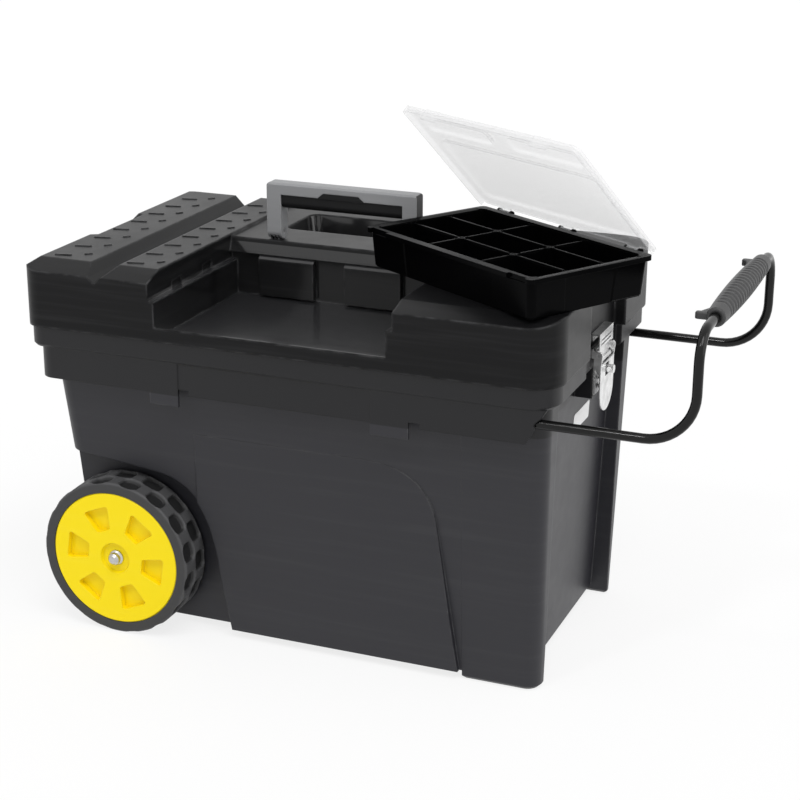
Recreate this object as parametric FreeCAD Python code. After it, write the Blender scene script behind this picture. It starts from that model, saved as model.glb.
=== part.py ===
"""Rolling jobsite chest: moulded tub on two wheels, hinged work lid, sliding pull handle, loose organizer.

X runs along the chest towards the latch end, Y across it, Z up from the floor. Millimetres.
"""
import FreeCAD, Part
import math
import os

Vec = FreeCAD.Vector
X_AXIS = Vec(1, 0, 0)
Y_AXIS = Vec(0, 1, 0)
Z_AXIS = Vec(0, 0, 1)
SIDES = (-1, 1)
ARC_MIDDLE = 1 - math.sqrt(0.5)

# Clearances, and how far a cutting solid runs past the face that it opens
SEAT_GAP = 0.3
RUNNING_FIT = 0.08
SIDE_PLAY = 0.5
OVERCUT = 1.0

# Lid shell
LID_LENGTH = 600.0
LID_DEPTH = 366.0
LID_BOTTOM_Z = 346.5
LID_HEIGHT = 71.5
LID_WALL = 3.0
HINGE_END_CORNER = 22.0
LATCH_END_CORNER = 36.0
HINGE_BLOCK_LENGTH = 155.0
LATCH_BLOCK_LENGTH = 171.0
LATCH_BLOCK_DROP = 2.0
PLATFORM_DEPTH = 171.0
PLATFORM_DROP = 3.0
FRONT_EDGE_DROP = 9.5
FRONT_CHAMFER_RUN = 26.0
END_CHAMFER_RUN = 12.0
LID_RIB_DROP = 6.0
LID_RIB_WALL = 2.5
LID_RIB_CLEARANCE = 1.5

# Tool tray in the lid
TRAY_FLOOR = 3.0
TRAY_LIP_HEIGHT = 12.0
TRAY_LEDGE_HEIGHT = 40.0
TRAY_LEDGE_WIDTH = 6.5
APRON_RUN = 6.0
APRON_DROP = 16.0
CLIP_POCKET_LENGTH = 22.0
CLIP_POCKET_HEIGHT = 9.0
CLIP_POCKET_DEPTH = 1.6
CLIP_POCKET_INSETS = (65.0, 135.0)
PAD_INSET = 37.0
PAD_PITCH = 104.0
PAD_LENGTH = 67.0
PAD_FOOT_GAP = 2.5
PAD_HEIGHT = 42.0
PAD_THICKNESS = 8.0

# Treads and sawing groove on the hinge-end block
GROOVE_TRAY_INSET = 63.5
GROOVE_HALF_WIDTH = 17.0
GROOVE_DEPTH = 17.0
LUG_HEIGHT = 1.0
LUG_WIDTH = 4.0
LUG_END_ROUND = 1.8
LONG_LUG_LENGTH = 19.0
SHORT_LUG_LENGTH = 9.0
LUG_PITCH = 41.0
LUG_STAGGER = 13.7
LUG_OFFSET_X = 11.5
LONG_LUG_ANGLE = 12.0
SHORT_LUG_ANGLE = 50.0

# Grab scallop at the hinge end, hand recess at the latch end
SCALLOP_HALF_WIDTH = 50.0
SCALLOP_FLARE = 12.0
SCALLOP_TOP_DEPTH = 20.0
SCALLOP_LOW_DEPTH = 7.0
SCALLOP_DROP = 52.0
RECESS_HALF_WIDTH = 67.0
RECESS_DEPTH = 13.0

# Finger pocket behind the carry handle
POCKET_LEFT_INSET = 40.0
POCKET_RIGHT_INSET = 54.0
POCKET_SETBACK = 34.0
POCKET_BACK_INSET = 38.0
POCKET_DEPTH = 32.0
POCKET_CORNER = 12.0
POCKET_TAPER = 6.0

# Carry handle
HANDLE_LEFT_INSET = 44.0
HANDLE_RIGHT_INSET = 51.0
HANDLE_SETBACK = 2.0
HANDLE_THICKNESS = 18.0
HANDLE_HEIGHT = 65.0
HANDLE_LEG_WIDTH = 17.0
HANDLE_BAR_HEIGHT = 13.0
HANDLE_CORNER = 4.0
HANDLE_EDGE = 2.0
INSERT_HEIGHT = 16.0
INSERT_SETBACK = 1.5
INSERT_BUMP_LENGTH = 42.0
INSERT_BUMP_FLANK = 8.0
INSERT_BUMP_HEIGHT = 5.5
HANDLE_PIN_RADIUS = 3.0
HANDLE_FOOT_GAP = 0.6
FOOT_PLATES = 3
FOOT_PLATE_WIDTH = 1.6
FOOT_PLATE_PLAY = 0.4
FOOT_PLATE_RADIUS = 7.0

# Tub rim and skirt
RIM_INSET = 3.5
RIM_WALL = 3.0
RIM_DEPTH = 20.5
RIM_CHAMFER = 2.5
LEDGE_THICKNESS = 3.0
SKIRT_END_INSET = 13.0
SKIRT_SIDE_INSET = 5.5
SKIRT_DROP = 37.5
SKIRT_WALL = 3.0
SKIRT_CORNER = 18.0
SKIRT_LOW_END_INSET = 32.0
SKIRT_HIGH_END_INSET = 12.0
SKIRT_PANEL_RECESS = 1.2
HINGE_TAB_INSET = 150.0
HINGE_TAB_LENGTH = 34.0
LATCH_TAB_INSET = 155.0
LATCH_TAB_LENGTH = 42.0
TAB_DROP = 13.0
TAB_NOTCH_LENGTH = 12.0
TAB_NOTCH_HEIGHT = 6.0

# Tub body
TUB_WALL = 3.0
TUB_BOTTOM_Z = 10.0
TUB_CORNER = 18.0
TUB_LOW_LEFT_INSET = 50.0
TUB_HIGH_LEFT_INSET = 16.5
TUB_LOW_RIGHT_INSET = 42.0
TUB_HIGH_RIGHT_INSET = 28.5
TUB_LOW_SIDE_INSET = 41.0
TUB_HIGH_SIDE_INSET = 24.5
POST_LENGTH = 91.5
POST_LOW_RIGHT_INSET = 22.0
POST_HIGH_RIGHT_INSET = 14.5
POST_INNER_INSET = 62.0
POST_PROUD = 0.2
POST_CORNER = 22.0
FOOT_BEVEL = 4.0
PANEL_TOP_Z = 238.0
PANEL_CREASE_Z = 63.0
PANEL_LOW_PROUD = 6.0
PANEL_CREASE_PROUD = 6.7
PANEL_HIGH_PROUD = 0.5
PANEL_LOW_MARGIN = 3.0
PANEL_HIGH_MARGIN = 35.5
PANEL_CURVE_RUN = 73.0
PANEL_CURVE_DROP = 64.0

# Wheels and axle
WHEEL_INSET = 100.0
WHEEL_RADIUS = 88.9
WHEEL_WIDTH = 45.0
WHEEL_SETBACK = 1.0
WHEEL_WELL_GAP = 5.0
AXLE_RADIUS = 5.0
AXLE_PROUD = 2.0
PUSH_NUT_CROWN = 3.5
PUSH_NUT_FLANGE = 3.5
PUSH_NUT_WALL = 1.6
PUSH_NUT_SHEET = 1.5
PUSH_NUT_DOME = 2.5
WASHER_WALL = 8.0
WELL_FRONT_GAP = 23.5
WELL_TOP_GAP = 13.0
WELL_FRONT_LEAN = 0.16
WELL_TOP_LEAN = 0.11
WELL_CURVE_DROP = 82.0
WELL_CURVE_RUN = 57.4
TUNNEL_CLEARANCE = 2.0
AXLE_SEAT_LENGTH = 10.0
TYRE_HEIGHT = 12.2
TYRE_BEAD_DEPTH = 4.7
TYRE_SHOULDER = 3.0
TYRE_LUG_DEPTH = 4.5
TYRE_LUG_GAP = 13.0
TYRE_MIDDLE_RIB = 4.0
TYRE_LUGS_PER_ROW = 16
HUB_DISC_THICKNESS = 10.0
HUB_RIM_WALL = 4.0
HUB_EDGE = 1.5
HUB_BOSS_WALL = 12.0
HUB_POCKETS = 6
HUB_POCKET_TURN = 8.0
HUB_POCKET_INNER_MARGIN = 15.0
HUB_POCKET_OUTER_MARGIN = 17.7
HUB_POCKET_INNER_WIDTH = 17.0
HUB_POCKET_OUTER_WIDTH = 33.0
HUB_POCKET_ROUND = 3.0
HUB_POCKET_DEPTH = 7.5
HUB_CENTRE_RADIUS = 18.0
HUB_CENTRE_DEPTH = 4.5
HUB_CENTRE_TAPER = 2.0

# Lid hinge at the wheel end
HINGE_OFFSET = 6.0
HINGE_DROP = 5.0
HINGE_SIDE_INSET = 68.0
KNUCKLE_RADIUS = 6.0
KNUCKLE_ARM_RISE = 12.0
HINGE_PIN_RADIUS = 2.5
LID_KNUCKLE_LENGTH = 26.0
TUB_KNUCKLE_LENGTH = 15.0

# Pull handle
TUBE_RADIUS = 6.5
TUBE_WALL = 1.5
TUBE_SKIRT_INSET = 10.0
TUBE_LEG_DROP = 18.0
TUBE_REACH = 134.0
TUBE_RISE = 110.0
TUBE_LOW_BEND = 50.0
TUBE_HIGH_BEND = 30.0
TUBE_EXIT_CLEARANCE = 0.7
STOP_LENGTH = 12.0
STOP_HALF_HEIGHT = 9.0
GUIDE_DROP = 11.0
GUIDE_INNER_GAP = 2.0
GRIP_HALF_LENGTH = 115.0
GRIP_END_RADIUS = 12.0
GRIP_MIDDLE_RADIUS = 15.0
GRIP_END_ROUND = 2.0
GRIP_PLAIN_END = 22.0
GRIP_GROOVE_PITCH = 10.0
GRIP_GROOVE_WIDTH = 4.6
GRIP_GROOVE_DEPTH = 2.4
GRIP_WINDOW_OFFSET = 6.0
GRIP_WINDOW_ANGLE = 40.0
WING_ROOT = 10.6
WING_REACH = 25.0
WING_THICKNESS = 7.0
WING_HOOK = 8.0
WING_HOOK_DEPTH = 8.0
WING_LENGTH = 30.0

# Draw latch
LATCH_SEAT_INSET = 10.5
LATCH_SHEET = 1.5
LATCH_HALF_WIDTH = 25.0
LATCH_BASE_HALF_WIDTH = 15.0
LATCH_BASE_DROP = 47.0
LATCH_BASE_RISE = 6.0
LATCH_EAR_GAP = 0.4
LEVER_PIVOT_STANDOFF = 6.5
LEVER_PIVOT_DROP = 8.5
LEVER_PIN_RADIUS = 1.75
LEVER_FACE_OFFSET = 1.2
LEVER_LENGTH = 66.0
LEVER_TOP_DROP = 11.5
LEVER_CHEEK_RADIUS = 4.0
LINK_PIVOT_IN = 2.4
LINK_PIVOT_DROP = 9.0
LINK_PIN_RADIUS = 1.5
LINK_EAR_GAP = 0.6
LINK_EYE_RADIUS = 3.0
LINK_SHEET = 1.4
LINK_HEIGHT = 32.0
LINK_STEP_HEIGHT = 14.5
LINK_JOGGLE = 3.0
LINK_SLOTS = 3
LINK_SLOT_HEIGHT = 1.6
LINK_SLOT_PITCH = 4.4
LINK_SLOT_MARGIN = 6.0
CATCH_THICKNESS = 1.0
CATCH_HEIGHT = 9.0
CATCH_HALF_WIDTH = 16.0
HOOK_GAP = 0.4
STAPLE_DROP = 20.0
STAPLE_RADIUS = 4.5
STAPLE_LENGTH = 16.5
STAPLE_EYE_RADIUS = 2.75
STAPLE_EYE_MARGIN = 4.0
STAPLE_HOLE = 14.0

# Organizer
ORG_LENGTH = 266.0
ORG_WIDTH = 162.0
ORG_HEIGHT = 42.0
ORG_HANDLE_GAP = 9.0
ORG_END_SHIFT = 5.0
ORG_YAW = -31.0
ORG_RIM_HEIGHT = 5.0
ORG_RIM_WIDTH = 4.0
ORG_RIM_BREAK_INSET = 9.0
ORG_RIM_BREAK_LENGTH = 27.0
ORG_TAPER = 3.0
ORG_WALL = 2.0
ORG_DIVIDER = 1.8
ORG_DIVIDER_DROP = 2.0
ORG_CORNER = 6.0
ORG_COLUMNS = 3
ORG_ROWS = 3
ORG_DIP = 2.0
ORG_DIP_MARGIN = 8.0
CELL_CORNER = 5.0
CELL_TAPER = 1.5
COVER_OPEN_ANGLE = 46.5
COVER_SHEET = 2.0
COVER_GAP = 0.4
COVER_FLANGE = 7.0
COVER_CROWN = 2.5
COVER_CROWN_INSET = 14.0
COVER_BAND_DEPTH = 24.0
COVER_BAND_GAP = 14.0
COVER_HINGE_OUT = 3.5
COVER_HINGE_DROP = 1.5
COVER_HINGE_INSET = 33.0
COVER_PIN_RADIUS = 1.6
COVER_BARREL_RADIUS = 3.2
COVER_BARREL_LENGTH = 16.0
COVER_EAR_THICKNESS = 3.0
COVER_CLIP_INSET = 48.0
COVER_CLIP_LENGTH = 24.0
COVER_CLIP_DROP = 12.0

# Places that follow from the sizes above
LID_LEFT = -LID_LENGTH / 2
LID_RIGHT = LID_LENGTH / 2
LID_HALF_DEPTH = LID_DEPTH / 2
TREAD_Z = LID_BOTTOM_Z + LID_HEIGHT
LATCH_BLOCK_Z = TREAD_Z - LATCH_BLOCK_DROP
PLATFORM_Z = TREAD_Z - PLATFORM_DROP
FRONT_EDGE_Z = TREAD_Z - FRONT_EDGE_DROP
TRAY_LEFT = LID_LEFT + HINGE_BLOCK_LENGTH
TRAY_RIGHT = LID_RIGHT - LATCH_BLOCK_LENGTH
TRAY_BACK = LID_HALF_DEPTH - PLATFORM_DEPTH
TRAY_FLOOR_Z = LID_BOTTOM_Z + TRAY_FLOOR
TRAY_LEDGE_Z = TRAY_FLOOR_Z + TRAY_LEDGE_HEIGHT
GROOVE_X = TRAY_LEFT - GROOVE_TRAY_INSET
RECESS_X = LID_RIGHT - RECESS_DEPTH
HANDLE_LEFT = TRAY_LEFT + HANDLE_LEFT_INSET
HANDLE_RIGHT = TRAY_RIGHT - HANDLE_RIGHT_INSET
HANDLE_FRONT = TRAY_BACK + HANDLE_SETBACK
HANDLE_BACK = HANDLE_FRONT + HANDLE_THICKNESS
HANDLE_TOP_Z = PLATFORM_Z + HANDLE_HEIGHT
HANDLE_PIVOT_Y = HANDLE_FRONT + HANDLE_THICKNESS / 2
HANDLE_PIVOT_Z = PLATFORM_Z + HANDLE_THICKNESS / 2 + HANDLE_FOOT_GAP
RIM_TOP_Z = LID_BOTTOM_Z - SEAT_GAP
RIM_FLOOR_Z = LID_BOTTOM_Z - RIM_DEPTH
LEDGE_UNDER_Z = RIM_FLOOR_Z - LEDGE_THICKNESS
RIM_LEFT = LID_LEFT + RIM_INSET
RIM_RIGHT = LID_RIGHT - RIM_INSET
RIM_HALF_DEPTH = LID_HALF_DEPTH - RIM_INSET
SKIRT_LEFT = LID_LEFT + SKIRT_END_INSET
SKIRT_RIGHT = LID_RIGHT - SKIRT_SIDE_INSET
SKIRT_HALF_DEPTH = LID_HALF_DEPTH - SKIRT_SIDE_INSET
SKIRT_BOTTOM_Z = RIM_FLOOR_Z - SKIRT_DROP
HINGE_TAB = (LID_LEFT + HINGE_TAB_INSET, LID_LEFT + HINGE_TAB_INSET + HINGE_TAB_LENGTH)
LATCH_TAB = (LID_RIGHT - LATCH_TAB_INSET - LATCH_TAB_LENGTH, LID_RIGHT - LATCH_TAB_INSET)
TUB_LOW_LEFT = LID_LEFT + TUB_LOW_LEFT_INSET
TUB_HIGH_LEFT = LID_LEFT + TUB_HIGH_LEFT_INSET
TUB_LOW_RIGHT = LID_RIGHT - TUB_LOW_RIGHT_INSET
TUB_HIGH_RIGHT = LID_RIGHT - TUB_HIGH_RIGHT_INSET
TUB_LOW_HALF_DEPTH = LID_HALF_DEPTH - TUB_LOW_SIDE_INSET
TUB_HIGH_HALF_DEPTH = LID_HALF_DEPTH - TUB_HIGH_SIDE_INSET
POST_LOW_RIGHT = LID_RIGHT - POST_LOW_RIGHT_INSET
POST_HIGH_RIGHT = LID_RIGHT - POST_HIGH_RIGHT_INSET
POST_LEFT = POST_HIGH_RIGHT - POST_LENGTH
POST_INNER = LID_HALF_DEPTH - POST_INNER_INSET
WHEEL_X = LID_LEFT + WHEEL_INSET
WHEEL_Z = WHEEL_RADIUS
WHEEL_OUTER_Y = LID_HALF_DEPTH - WHEEL_SETBACK
WHEEL_INNER_Y = WHEEL_OUTER_Y - WHEEL_WIDTH
WELL_INNER_Y = WHEEL_INNER_Y - WHEEL_WELL_GAP
AXLE_HALF_LENGTH = WHEEL_OUTER_Y + AXLE_PROUD
TYRE_BASE_RADIUS = WHEEL_RADIUS - TYRE_HEIGHT
TYRE_BEAD_RADIUS = TYRE_BASE_RADIUS - TYRE_BEAD_DEPTH
PANEL_LEFT = WHEEL_X + WHEEL_RADIUS
PANEL_LOW_RIGHT = POST_LEFT - PANEL_LOW_MARGIN
PANEL_HIGH_RIGHT = POST_LEFT - PANEL_HIGH_MARGIN
HINGE_X = LID_LEFT - HINGE_OFFSET
HINGE_Y = LID_HALF_DEPTH - HINGE_SIDE_INSET
HINGE_Z = LID_BOTTOM_Z - HINGE_DROP
TUBE_LEG_Y = SKIRT_HALF_DEPTH - TUBE_SKIRT_INSET
TUBE_LEG_Z = RIM_FLOOR_Z - TUBE_LEG_DROP
TUBE_BOW_X = LID_RIGHT + TUBE_REACH
TUBE_BOW_Z = TUBE_LEG_Z + TUBE_RISE
TUBE_STOP_X = HINGE_TAB[0] - SEAT_GAP
LATCH_SEAT_X = LID_RIGHT - LATCH_SEAT_INSET
LATCH_PLATE_X = LATCH_SEAT_X + LATCH_SHEET
LATCH_EAR_OUTER = LATCH_HALF_WIDTH - LATCH_SHEET - LATCH_EAR_GAP
LATCH_EAR_INNER = LATCH_EAR_OUTER - LATCH_SHEET
LEVER_PIVOT_X = LATCH_PLATE_X + LEVER_PIVOT_STANDOFF
LEVER_PIVOT_Z = LID_BOTTOM_Z - LEVER_PIVOT_DROP
LATCH_BASE_BOTTOM_Z = LEVER_PIVOT_Z - LATCH_BASE_DROP
LATCH_BASE_TOP_Z = LEVER_PIVOT_Z + LATCH_BASE_RISE
LINK_PIVOT_X = LEVER_PIVOT_X - LINK_PIVOT_IN
LINK_PIVOT_Z = LEVER_PIVOT_Z - LINK_PIVOT_DROP
LINK_TONGUE_HALF_WIDTH = LATCH_EAR_INNER - LINK_EAR_GAP
LINK_TOP_Z = LINK_PIVOT_Z + LINK_HEIGHT
STAPLE_Z = LEVER_PIVOT_Z - STAPLE_DROP
ORG_END_X = HANDLE_RIGHT + ORG_HANDLE_GAP
ORG_END_Y = HANDLE_PIVOT_Y - ORG_END_SHIFT
ORG_BASE_Z = LATCH_BLOCK_Z + SEAT_GAP
COVER_HINGE_Y = ORG_WIDTH / 2 + COVER_HINGE_OUT
COVER_HINGE_Z = ORG_HEIGHT - COVER_HINGE_DROP
COVER_HINGE_X = (COVER_HINGE_INSET - ORG_LENGTH / 2, 0, ORG_LENGTH / 2 - COVER_HINGE_INSET)
COVER_CLIP_X = (COVER_CLIP_INSET - ORG_LENGTH / 2, ORG_LENGTH / 2 - COVER_CLIP_INSET)
X_CENTRE = (HINGE_X - KNUCKLE_RADIUS + TUBE_BOW_X + GRIP_MIDDLE_RADIUS) / 2


def box(x0, x1, y0, y1, z0, z1):
    return Part.makeBox(x1 - x0, y1 - y0, z1 - z0, Vec(x0, y0, z0))


def rod(radius, start, end):
    return Part.makeCylinder(radius, (end - start).Length, start, end - start)


def polygon(points):
    return Part.Face(Part.makePolygon(points + points[:1]))


def along_x(yz_points, x0, x1):
    return polygon([Vec(x0, y, z) for y, z in yz_points]).extrude(Vec(x1 - x0, 0, 0))


def along_y(xz_points, y0, y1):
    return polygon([Vec(x, y0, z) for x, z in xz_points]).extrude(Vec(0, y1 - y0, 0))


def along_z(xy_points, z0, z1):
    return polygon([Vec(x, y, z0) for x, y in xy_points]).extrude(Vec(0, 0, z1 - z0))


def rounded_outline(x0, x1, y0, y1, radius, z, end_radius=None):
    """Closed rectangle with round corners at height z; the corners at x1 can have their own radius."""
    end = end_radius or radius
    cut = radius * ARC_MIDDLE
    end_cut = end * ARC_MIDDLE
    edges = [
        Part.LineSegment(Vec(x0 + radius, y0, z), Vec(x1 - end, y0, z)),
        Part.Arc(Vec(x1 - end, y0, z), Vec(x1 - end_cut, y0 + end_cut, z), Vec(x1, y0 + end, z)),
        Part.LineSegment(Vec(x1, y0 + end, z), Vec(x1, y1 - end, z)),
        Part.Arc(Vec(x1, y1 - end, z), Vec(x1 - end_cut, y1 - end_cut, z), Vec(x1 - end, y1, z)),
        Part.LineSegment(Vec(x1 - end, y1, z), Vec(x0 + radius, y1, z)),
        Part.Arc(Vec(x0 + radius, y1, z), Vec(x0 + cut, y1 - cut, z), Vec(x0, y1 - radius, z)),
        Part.LineSegment(Vec(x0, y1 - radius, z), Vec(x0, y0 + radius, z)),
        Part.Arc(Vec(x0, y0 + radius, z), Vec(x0 + cut, y0 + cut, z), Vec(x0 + radius, y0, z)),
    ]
    return Part.Wire([edge.toShape() for edge in edges])


def raised(outline, height):
    return Part.Face(outline).extrude(Vec(0, 0, height))


def loft(*outlines):
    return Part.makeLoft(list(outlines), True, True)


def mirrored_y(shape):
    return shape.mirror(Vec(0, 0, 0), Y_AXIS)


def turned(shape, origin, axis, angle):
    copy = shape.copy()
    copy.rotate(origin, axis, angle)
    return copy


def revolved_about_y(radius_y_points):
    """Ring or disc about the Y axis from its half section."""
    section = polygon([Vec(radius, y, 0) for radius, y in radius_y_points])
    return section.revolve(Vec(0, 0, 0), Y_AXIS, 360)


def lid_envelope(inset):
    outline = rounded_outline(
        LID_LEFT + inset, LID_RIGHT - inset, -LID_HALF_DEPTH + inset, LID_HALF_DEPTH - inset,
        HINGE_END_CORNER - inset, LID_BOTTOM_Z, LATCH_END_CORNER - inset)
    return raised(outline, LID_HEIGHT)


def lid_end_block(x0, x1, top, base, inset):
    """Full-depth block of the lid with the sloped front top edge."""
    front = -LID_HALF_DEPTH + inset
    back = LID_HALF_DEPTH - inset
    return along_x([
        (front, base), (back, base), (back, top - inset),
        (front + FRONT_CHAMFER_RUN, top - inset), (front, FRONT_EDGE_Z - inset),
    ], x0, x1)


def grab_scallop(grow):
    """Hollow in the hinge end for a hand, deepest at the top."""
    outside = LID_LEFT - OVERCUT
    bottom = TREAD_Z - SCALLOP_DROP - grow
    top = TREAD_Z + OVERCUT
    floor_x = LID_LEFT + SCALLOP_TOP_DEPTH + grow
    wide = SCALLOP_HALF_WIDTH + grow
    plan = along_z(
        [(outside, -wide - SCALLOP_FLARE), (floor_x, -wide), (floor_x, wide),
         (outside, wide + SCALLOP_FLARE)],
        bottom, top)
    slant = along_y(
        [(outside, bottom), (LID_LEFT + SCALLOP_LOW_DEPTH + grow, bottom), (floor_x, TREAD_Z), (floor_x, top),
         (outside, top)],
        -LID_DEPTH, LID_DEPTH)
    return plan.common(slant)


def finger_pocket(grow):
    left = TRAY_LEFT + POCKET_LEFT_INSET - grow
    right = TRAY_RIGHT - POCKET_RIGHT_INSET + grow
    front = HANDLE_BACK + POCKET_SETBACK - grow
    back = LID_HALF_DEPTH - POCKET_BACK_INSET + grow
    return loft(
        rounded_outline(left + POCKET_TAPER, right - POCKET_TAPER, front + POCKET_TAPER, back - POCKET_TAPER,
                        POCKET_CORNER, PLATFORM_Z - POCKET_DEPTH - grow),
        rounded_outline(left, right, front, back, POCKET_CORNER, PLATFORM_Z + OVERCUT))


def lid_cuts(grow):
    """Groove, scallop, finger pocket and hand recess, grown by a wall for the hollow inside."""
    slope = grow * math.sqrt(2)
    top = TREAD_Z + OVERCUT
    half = GROOVE_HALF_WIDTH + OVERCUT + slope
    groove = along_y(
        [(GROOVE_X - half, top), (GROOVE_X + half, top), (GROOVE_X, TREAD_Z - GROOVE_DEPTH - slope)],
        -LID_DEPTH, LID_DEPTH)
    outside = LID_LEFT - OVERCUT
    slope_end = LID_LEFT + END_CHAMFER_RUN + grow
    end_chamfer = along_y(
        [(outside, FRONT_EDGE_Z - grow), (LID_LEFT + grow, FRONT_EDGE_Z - grow), (slope_end, TREAD_Z - grow),
         (slope_end, top), (outside, top)],
        -LID_DEPTH, LID_DEPTH)
    recess = box(RECESS_X - grow, LID_RIGHT + OVERCUT, -RECESS_HALF_WIDTH - grow, RECESS_HALF_WIDTH + grow,
                 LID_BOTTOM_Z - OVERCUT, top)
    return [groove, grab_scallop(grow), end_chamfer, finger_pocket(grow), recess]


def lid_mass(inset, base):
    """The three raised blocks of the lid round the tool tray."""
    hinge_block = lid_end_block(LID_LEFT + inset, TRAY_LEFT - inset, TREAD_Z, base, inset)
    latch_block = lid_end_block(TRAY_RIGHT + inset, LID_RIGHT - inset, LATCH_BLOCK_Z, base, inset)
    overlap = 2 * inset + OVERCUT
    platform = box(TRAY_LEFT - overlap, TRAY_RIGHT + overlap, TRAY_BACK + inset, LID_HALF_DEPTH - inset,
                   base, PLATFORM_Z - inset)
    mass = hinge_block.fuse([latch_block, platform]).common(lid_envelope(inset))
    return mass.cut(lid_cuts(inset))


def lid_rib_outline(inset, z):
    """Locating rib under the lid, inside the tub's rim."""
    margin = RIM_WALL + LID_RIB_CLEARANCE + inset
    right = LATCH_SEAT_X - RIM_WALL - LID_RIB_CLEARANCE - inset
    half = RIM_HALF_DEPTH - margin
    return rounded_outline(RIM_LEFT + margin, right, -half, half, HINGE_END_CORNER - RIM_INSET - margin, z,
                           LATCH_END_CORNER - RIM_INSET - margin)


def tread_lugs():
    """Raised bars on the two tread strips: a row of long ones and a row of short slanted ones."""
    first_strip = (LID_LEFT + END_CHAMFER_RUN + GROOVE_X - GROOVE_HALF_WIDTH) / 2
    second_strip = (GROOVE_X + GROOVE_HALF_WIDTH + TRAY_LEFT) / 2
    count = int((LID_DEPTH - FRONT_CHAMFER_RUN) // LUG_PITCH)
    lugs = []
    for strip_x in (first_strip, second_strip):
        for index in range(count):
            y = (index - (count - 1) / 2) * LUG_PITCH
            for length, offset, shift, angle in (
                    (LONG_LUG_LENGTH, -LUG_OFFSET_X, 0, LONG_LUG_ANGLE),
                    (SHORT_LUG_LENGTH, LUG_OFFSET_X, LUG_STAGGER, SHORT_LUG_ANGLE)):
                foot = centred_outline(length, LUG_WIDTH, LUG_END_ROUND, TREAD_Z - LUG_HEIGHT)
                bar = raised(foot, 2 * LUG_HEIGHT)
                bar.rotate(Vec(0, 0, 0), Z_AXIS, angle)
                bar.translate(Vec(strip_x + offset, y + shift, 0))
                lugs.append(bar)
    return lugs


def tool_tray():
    """Floor, front lip, stepped side ledges, sloped apron and support pads of the lid's tray."""
    left = TRAY_LEFT - OVERCUT
    right = TRAY_RIGHT + OVERCUT
    back = TRAY_BACK + OVERCUT
    front = -LID_HALF_DEPTH
    apron_foot = PLATFORM_Z - APRON_DROP
    solids = [
        box(left, right, front, back, LID_BOTTOM_Z, TRAY_FLOOR_Z),
        box(left, right, front, front + LID_WALL, LID_BOTTOM_Z, TRAY_FLOOR_Z + TRAY_LIP_HEIGHT),
        along_x([(back, PLATFORM_Z), (TRAY_BACK, PLATFORM_Z), (TRAY_BACK - APRON_RUN, apron_foot),
                 (back, apron_foot)], left, right),
    ]
    for wall_x, direction in ((TRAY_LEFT, 1), (TRAY_RIGHT, -1)):
        ledge_x = wall_x + direction * TRAY_LEDGE_WIDTH
        solids.append(box(min(wall_x, ledge_x), max(wall_x, ledge_x), front, back,
                          LID_BOTTOM_Z, TRAY_LEDGE_Z))
    pad_front = TRAY_BACK - PAD_THICKNESS
    pad_foot = TRAY_FLOOR_Z + PAD_FOOT_GAP
    pad_head = pad_foot + PAD_HEIGHT
    for index in range(int((TRAY_RIGHT - TRAY_LEFT - PAD_INSET) // PAD_PITCH)):
        pad_left = TRAY_LEFT + PAD_INSET + PAD_PITCH * index
        solids.append(along_x(
            [(back, pad_foot), (back, pad_head + PAD_THICKNESS), (pad_front, pad_head),
             (pad_front, pad_foot)],
            pad_left, pad_left + PAD_LENGTH))
    return solids


def knuckle(y0, y1, arm_points, bore):
    """One hinge knuckle with the arm that carries it."""
    barrel = rod(KNUCKLE_RADIUS, Vec(HINGE_X, y0, HINGE_Z), Vec(HINGE_X, y1, HINGE_Z))
    arm = along_y(arm_points, y0, y1)
    hole = rod(bore, Vec(HINGE_X, y0 - OVERCUT, HINGE_Z), Vec(HINGE_X, y1 + OVERCUT, HINGE_Z))
    return barrel.fuse(arm).cut(hole)


def handle_legs():
    """Left and right faces of the carry handle's two legs."""
    return ((HANDLE_LEFT, HANDLE_LEFT + HANDLE_LEG_WIDTH),
            (HANDLE_RIGHT - HANDLE_LEG_WIDTH, HANDLE_RIGHT))


def on_handle_axis(x):
    return Vec(x, HANDLE_PIVOT_Y, HANDLE_PIVOT_Z)


def foot_plate_middles():
    pitch = HANDLE_LEG_WIDTH / (FOOT_PLATES + 1)
    lefts = [left for left, right in handle_legs()]
    return [left + pitch * (index + 1) for left in lefts for index in range(FOOT_PLATES)]


def foot_plates():
    """Hinge plates of the lid that stand in the slots of the handle's feet."""
    plates = []
    for middle in foot_plate_middles():
        x0 = middle - FOOT_PLATE_WIDTH / 2
        x1 = middle + FOOT_PLATE_WIDTH / 2
        stem = box(x0, x1, HANDLE_PIVOT_Y - FOOT_PLATE_RADIUS, HANDLE_PIVOT_Y + FOOT_PLATE_RADIUS,
                   PLATFORM_Z - LID_WALL / 2, HANDLE_PIVOT_Z)
        plates.append(stem.fuse(rod(FOOT_PLATE_RADIUS, on_handle_axis(x0), on_handle_axis(x1))))
    return plates


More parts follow.
